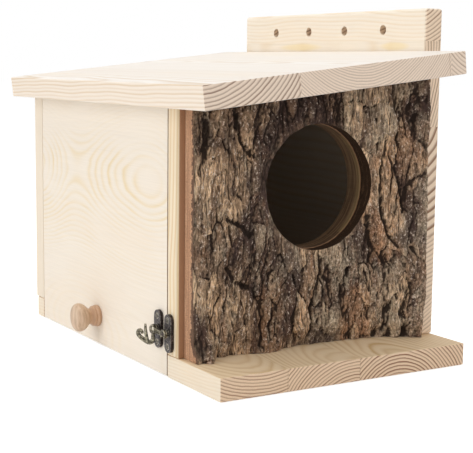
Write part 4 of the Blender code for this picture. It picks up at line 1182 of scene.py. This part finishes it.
bronze = {name: bronzeMaterial(name, look) for name, look in bronzeLooks.items()}
zinc = zincMaterial(zincLook)
metalFinishes = {
    "latch_hook": bronze["hook_bronze_painted_highlight"],
    "latch_rivet": bronze["rivet_bronze_painted_highlight"],
    "latch_plate": bronze["dark_bronze"],
    "keeper_plate": bronze["dark_bronze"],
    "pivot_pin_front": zinc,
    "pivot_pin_rear": zinc,
}
for metalNode, metalFinish in metalFinishes.items():
    dressNode(metalNode, metalFinish)
print("metals are dressed")

# screws, one tree for them all: countersunk head with a cross recess, threaded shank and point

coarse = {"Head Diameter": 0.0080, "Shank Diameter": 0.0040, "Pitch": 0.0018, "Finish": zinc}
fine = {"Head Diameter": 0.0044, "Shank Diameter": 0.0022, "Pitch": 0.0011, "Finish": bronze["dark_bronze"]}
screws = {
    "frame_screws": {
        "nodes": ["floor_screw", "back_screw", "rear_screw", "bark_screw"],
        "body": "house", "slot": "zinc_steel", "Seed": 3, **coarse,
    },
    "keeper_screws": {"nodes": ["keeper_screw"], "body": "house", "slot": "dark_bronze", "Seed": 5, **fine},
    "latch_screws": {"nodes": ["latch_screw"], "body": "door", "slot": "dark_bronze", "Seed": 8, **fine},
    "knob_screws": {"nodes": ["knob_screw"], "body": "door", "slot": "zinc_steel", "Seed": 2, **coarse},
}
# core as a share of the shank, point in cores, thread as a share of the straight stem, and the
# cross's blades in half heads
screwShape = {
    "core": 0.36,
    "point": 3.2,
    "threaded": 0.72,
    "blade": (1.15, 0.24, 0.9),
    "headSides": 36,
    "stemSides": 20,
    "ridgeSides": 3,
    "turnSteps": 16,
    "sharpAngle": math.radians(35),
}
screwInputs = {"Head Diameter": "Float", "Shank Diameter": "Float", "Pitch": "Float", "Seed": "Int",
               "Finish": "Material"}


def screwTree(shape):
    tree = bpy.data.node_groups.new("screw", "GeometryNodeTree")
    tree.interface.new_socket("Geometry", in_out="OUTPUT", socket_type="NodeSocketGeometry")
    for name, kind in {"Geometry": "Geometry", **screwInputs}.items():
        tree.interface.new_socket(name, in_out="INPUT", socket_type="NodeSocket" + kind)
    given = {socket.name: Wire(socket) for socket in addNode(tree, "NodeGroupInput").outputs}
    head = given["Head Diameter"] * 0.5
    core = given["Shank Diameter"] * shape["core"]
    thread = given["Shank Diameter"] * 0.5 - core
    sink = head - core

    def raised(mesh, height):
        place = vectorOf(0.0, 0.0, height)
        return wired("GeometryNodeTransform", {"Geometry": mesh, "Translation": place})

    def cone(sides, top, bottom, depth):
        sockets = {"Vertices": sides, "Radius Top": top, "Radius Bottom": bottom, "Depth": depth}
        return wired("GeometryNodeMeshCone", sockets, "Mesh")

    # the head, with a cross cut into it
    bowl = raised(cone(shape["headSides"], head, core, sink), sink * -1.0)
    blade = vectorOf(*(head * share for share in shape["blade"]))
    bar = wired("GeometryNodeMeshCube", {"Size": blade}, "Mesh")
    turned = wired("GeometryNodeTransform", {"Geometry": bar, "Rotation": (0, 0, math.pi / 2)})
    exact = {"operation": "DIFFERENCE", "solver": "EXACT"}
    cross = addNode(tree, "GeometryNodeMeshBoolean", {"Mesh 1": bowl}, **exact)
    for cut in (bar, turned):
        tree.links.new(cut.socket, cross.inputs["Mesh 2"])

    # the shank, its point and the thread round it, as long as the point attribute says
    named = "GeometryNodeInputNamedAttribute"
    length = wireFrom(tree, named, {"Name": "long"}, data_type="FLOAT")
    lengths = {"Geometry": given["Geometry"], "Attribute": length}
    reach = wired("GeometryNodeAttributeStatistic", lengths, "Max")
    tip = core * shape["point"]
    stem = reach - tip - sink
    threaded = stem * shape["threaded"]
    coil = wired("GeometryNodeCurveSpiral", {
        "Resolution": shape["turnSteps"], "Rotations": threaded / given["Pitch"], "Start Radius": core,
        "End Radius": core, "Height": threaded})
    outline = {"Resolution": shape["ridgeSides"], "Radius": thread}
    ridge = wired("GeometryNodeCurvePrimitiveCircle", outline)
    helix = wired("GeometryNodeCurveToMesh", {"Curve": coil, "Profile Curve": ridge, "Fill Caps": True})
    whole = addNode(tree, "GeometryNodeJoinGeometry")
    sides = shape["stemSides"]
    for mesh in (Wire(cross.outputs["Mesh"]), raised(cone(sides, core, core, stem), tip - reach),
                 raised(cone(sides, core, 0.0, tip), reach * -1.0), raised(helix, tip - reach)):
        tree.links.new(mesh.socket, whole.inputs[0])

    # one at each place, aimed along its hole, with the cross at any turn
    aim = wireFrom(tree, named, {"Name": "aim"}, data_type="FLOAT_VECTOR")
    stand = wired("FunctionNodeAlignRotationToVector", {"Vector": aim}, axis="Z")
    turn = wired("FunctionNodeRandomValue", {3: math.pi / 2, "Seed": given["Seed"]}, 1, data_type="FLOAT")
    spin = wired("FunctionNodeAxisAngleToRotation", {"Axis": (0, 0, 1), "Angle": turn})
    stance = wired("FunctionNodeRotateRotation", {0: stand, 1: spin}, rotation_space="LOCAL")
    placed = wired("GeometryNodeInstanceOnPoints", {
        "Points": given["Geometry"], "Instance": Wire(whole.outputs[0]), "Rotation": stance})
    real = wired("GeometryNodeRealizeInstances", {"Geometry": placed})
    dressed = wired("GeometryNodeSetMaterial", {"Geometry": real, "Material": given["Finish"]})
    addNode(tree, "NodeGroupOutput", {0: dressed})
    return tree


def screwStance(nodeName):
    # where the head's face is, which way it looks, and how long the screw is
    points = np.array([tuple(vertex.co) for vertex in nodes[nodeName].data.vertices])
    low, high = points.min(0), points.max(0)
    axis = int(np.argmax(high - low))
    middle = (low + high) / 2
    away = np.hypot(*np.delete(points - middle, axis, 1).T)
    rim = points[away > away.max() - 0.00005, axis].mean()
    place, aim = middle.copy(), np.zeros(3)
    place[axis], aim[axis] = (high[axis], 1) if rim > middle[axis] else (low[axis], -1)
    return place, aim, (high - low)[axis]


def makeScrews(name, look, tree):
    replaced = [nodeName for nodeName in sorted(nodes)
                if nodeName in look["nodes"] or nodeName[:-2] in look["nodes"]]
    sizes = {}
    for nodeName in replaced:
        place, aim, length = screwStance(nodeName)
        sizes.setdefault(round(float(length), 4), []).append((place, aim))
    joined = bmesh.new()
    for length, stances in sizes.items():
        mesh = bpy.data.meshes.new(name)
        mesh.from_pydata([tuple(place) for place, aim in stances], [], [])
        aims = np.array([aim for place, aim in stances]).ravel()
        mesh.attributes.new("aim", "FLOAT_VECTOR", "POINT").data.foreach_set("vector", aims)
        mesh.attributes.new("long", "FLOAT", "POINT").data.foreach_set("value", [length] * len(stances))
        holder = addObject(name, mesh)
        modifier = holder.modifiers.new(name, "NODES")
        modifier.node_group = tree
        for item in tree.interface.items_tree:
            if item.in_out == "INPUT" and item.name in look:
                modifier[item.identifier] = look[item.name]
        graph = bpy.context.evaluated_depsgraph_get()
        made = bpy.data.meshes.new_from_object(holder.evaluated_get(graph), depsgraph=graph)
        joined.from_mesh(made)
        bpy.data.objects.remove(holder)
    mesh = bpy.data.meshes.new(name)
    joined.to_mesh(mesh)
    joined.free()
    mesh.shade_smooth()
    mesh.set_sharp_from_angle(angle=screwShape["sharpAngle"])
    mesh.materials.append(look["Finish"])
    piece = addObject(name, mesh)
    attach(piece, look["body"])
    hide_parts(*replaced)
    print(name, "stand in for", len(replaced), "screws with", len(mesh.polygons), "faces")


screwNodes = screwTree(screwShape)
for screwName, screwLook in screws.items():
    makeScrews(screwName, screwLook, screwNodes)

bpy.context.view_layer.update()
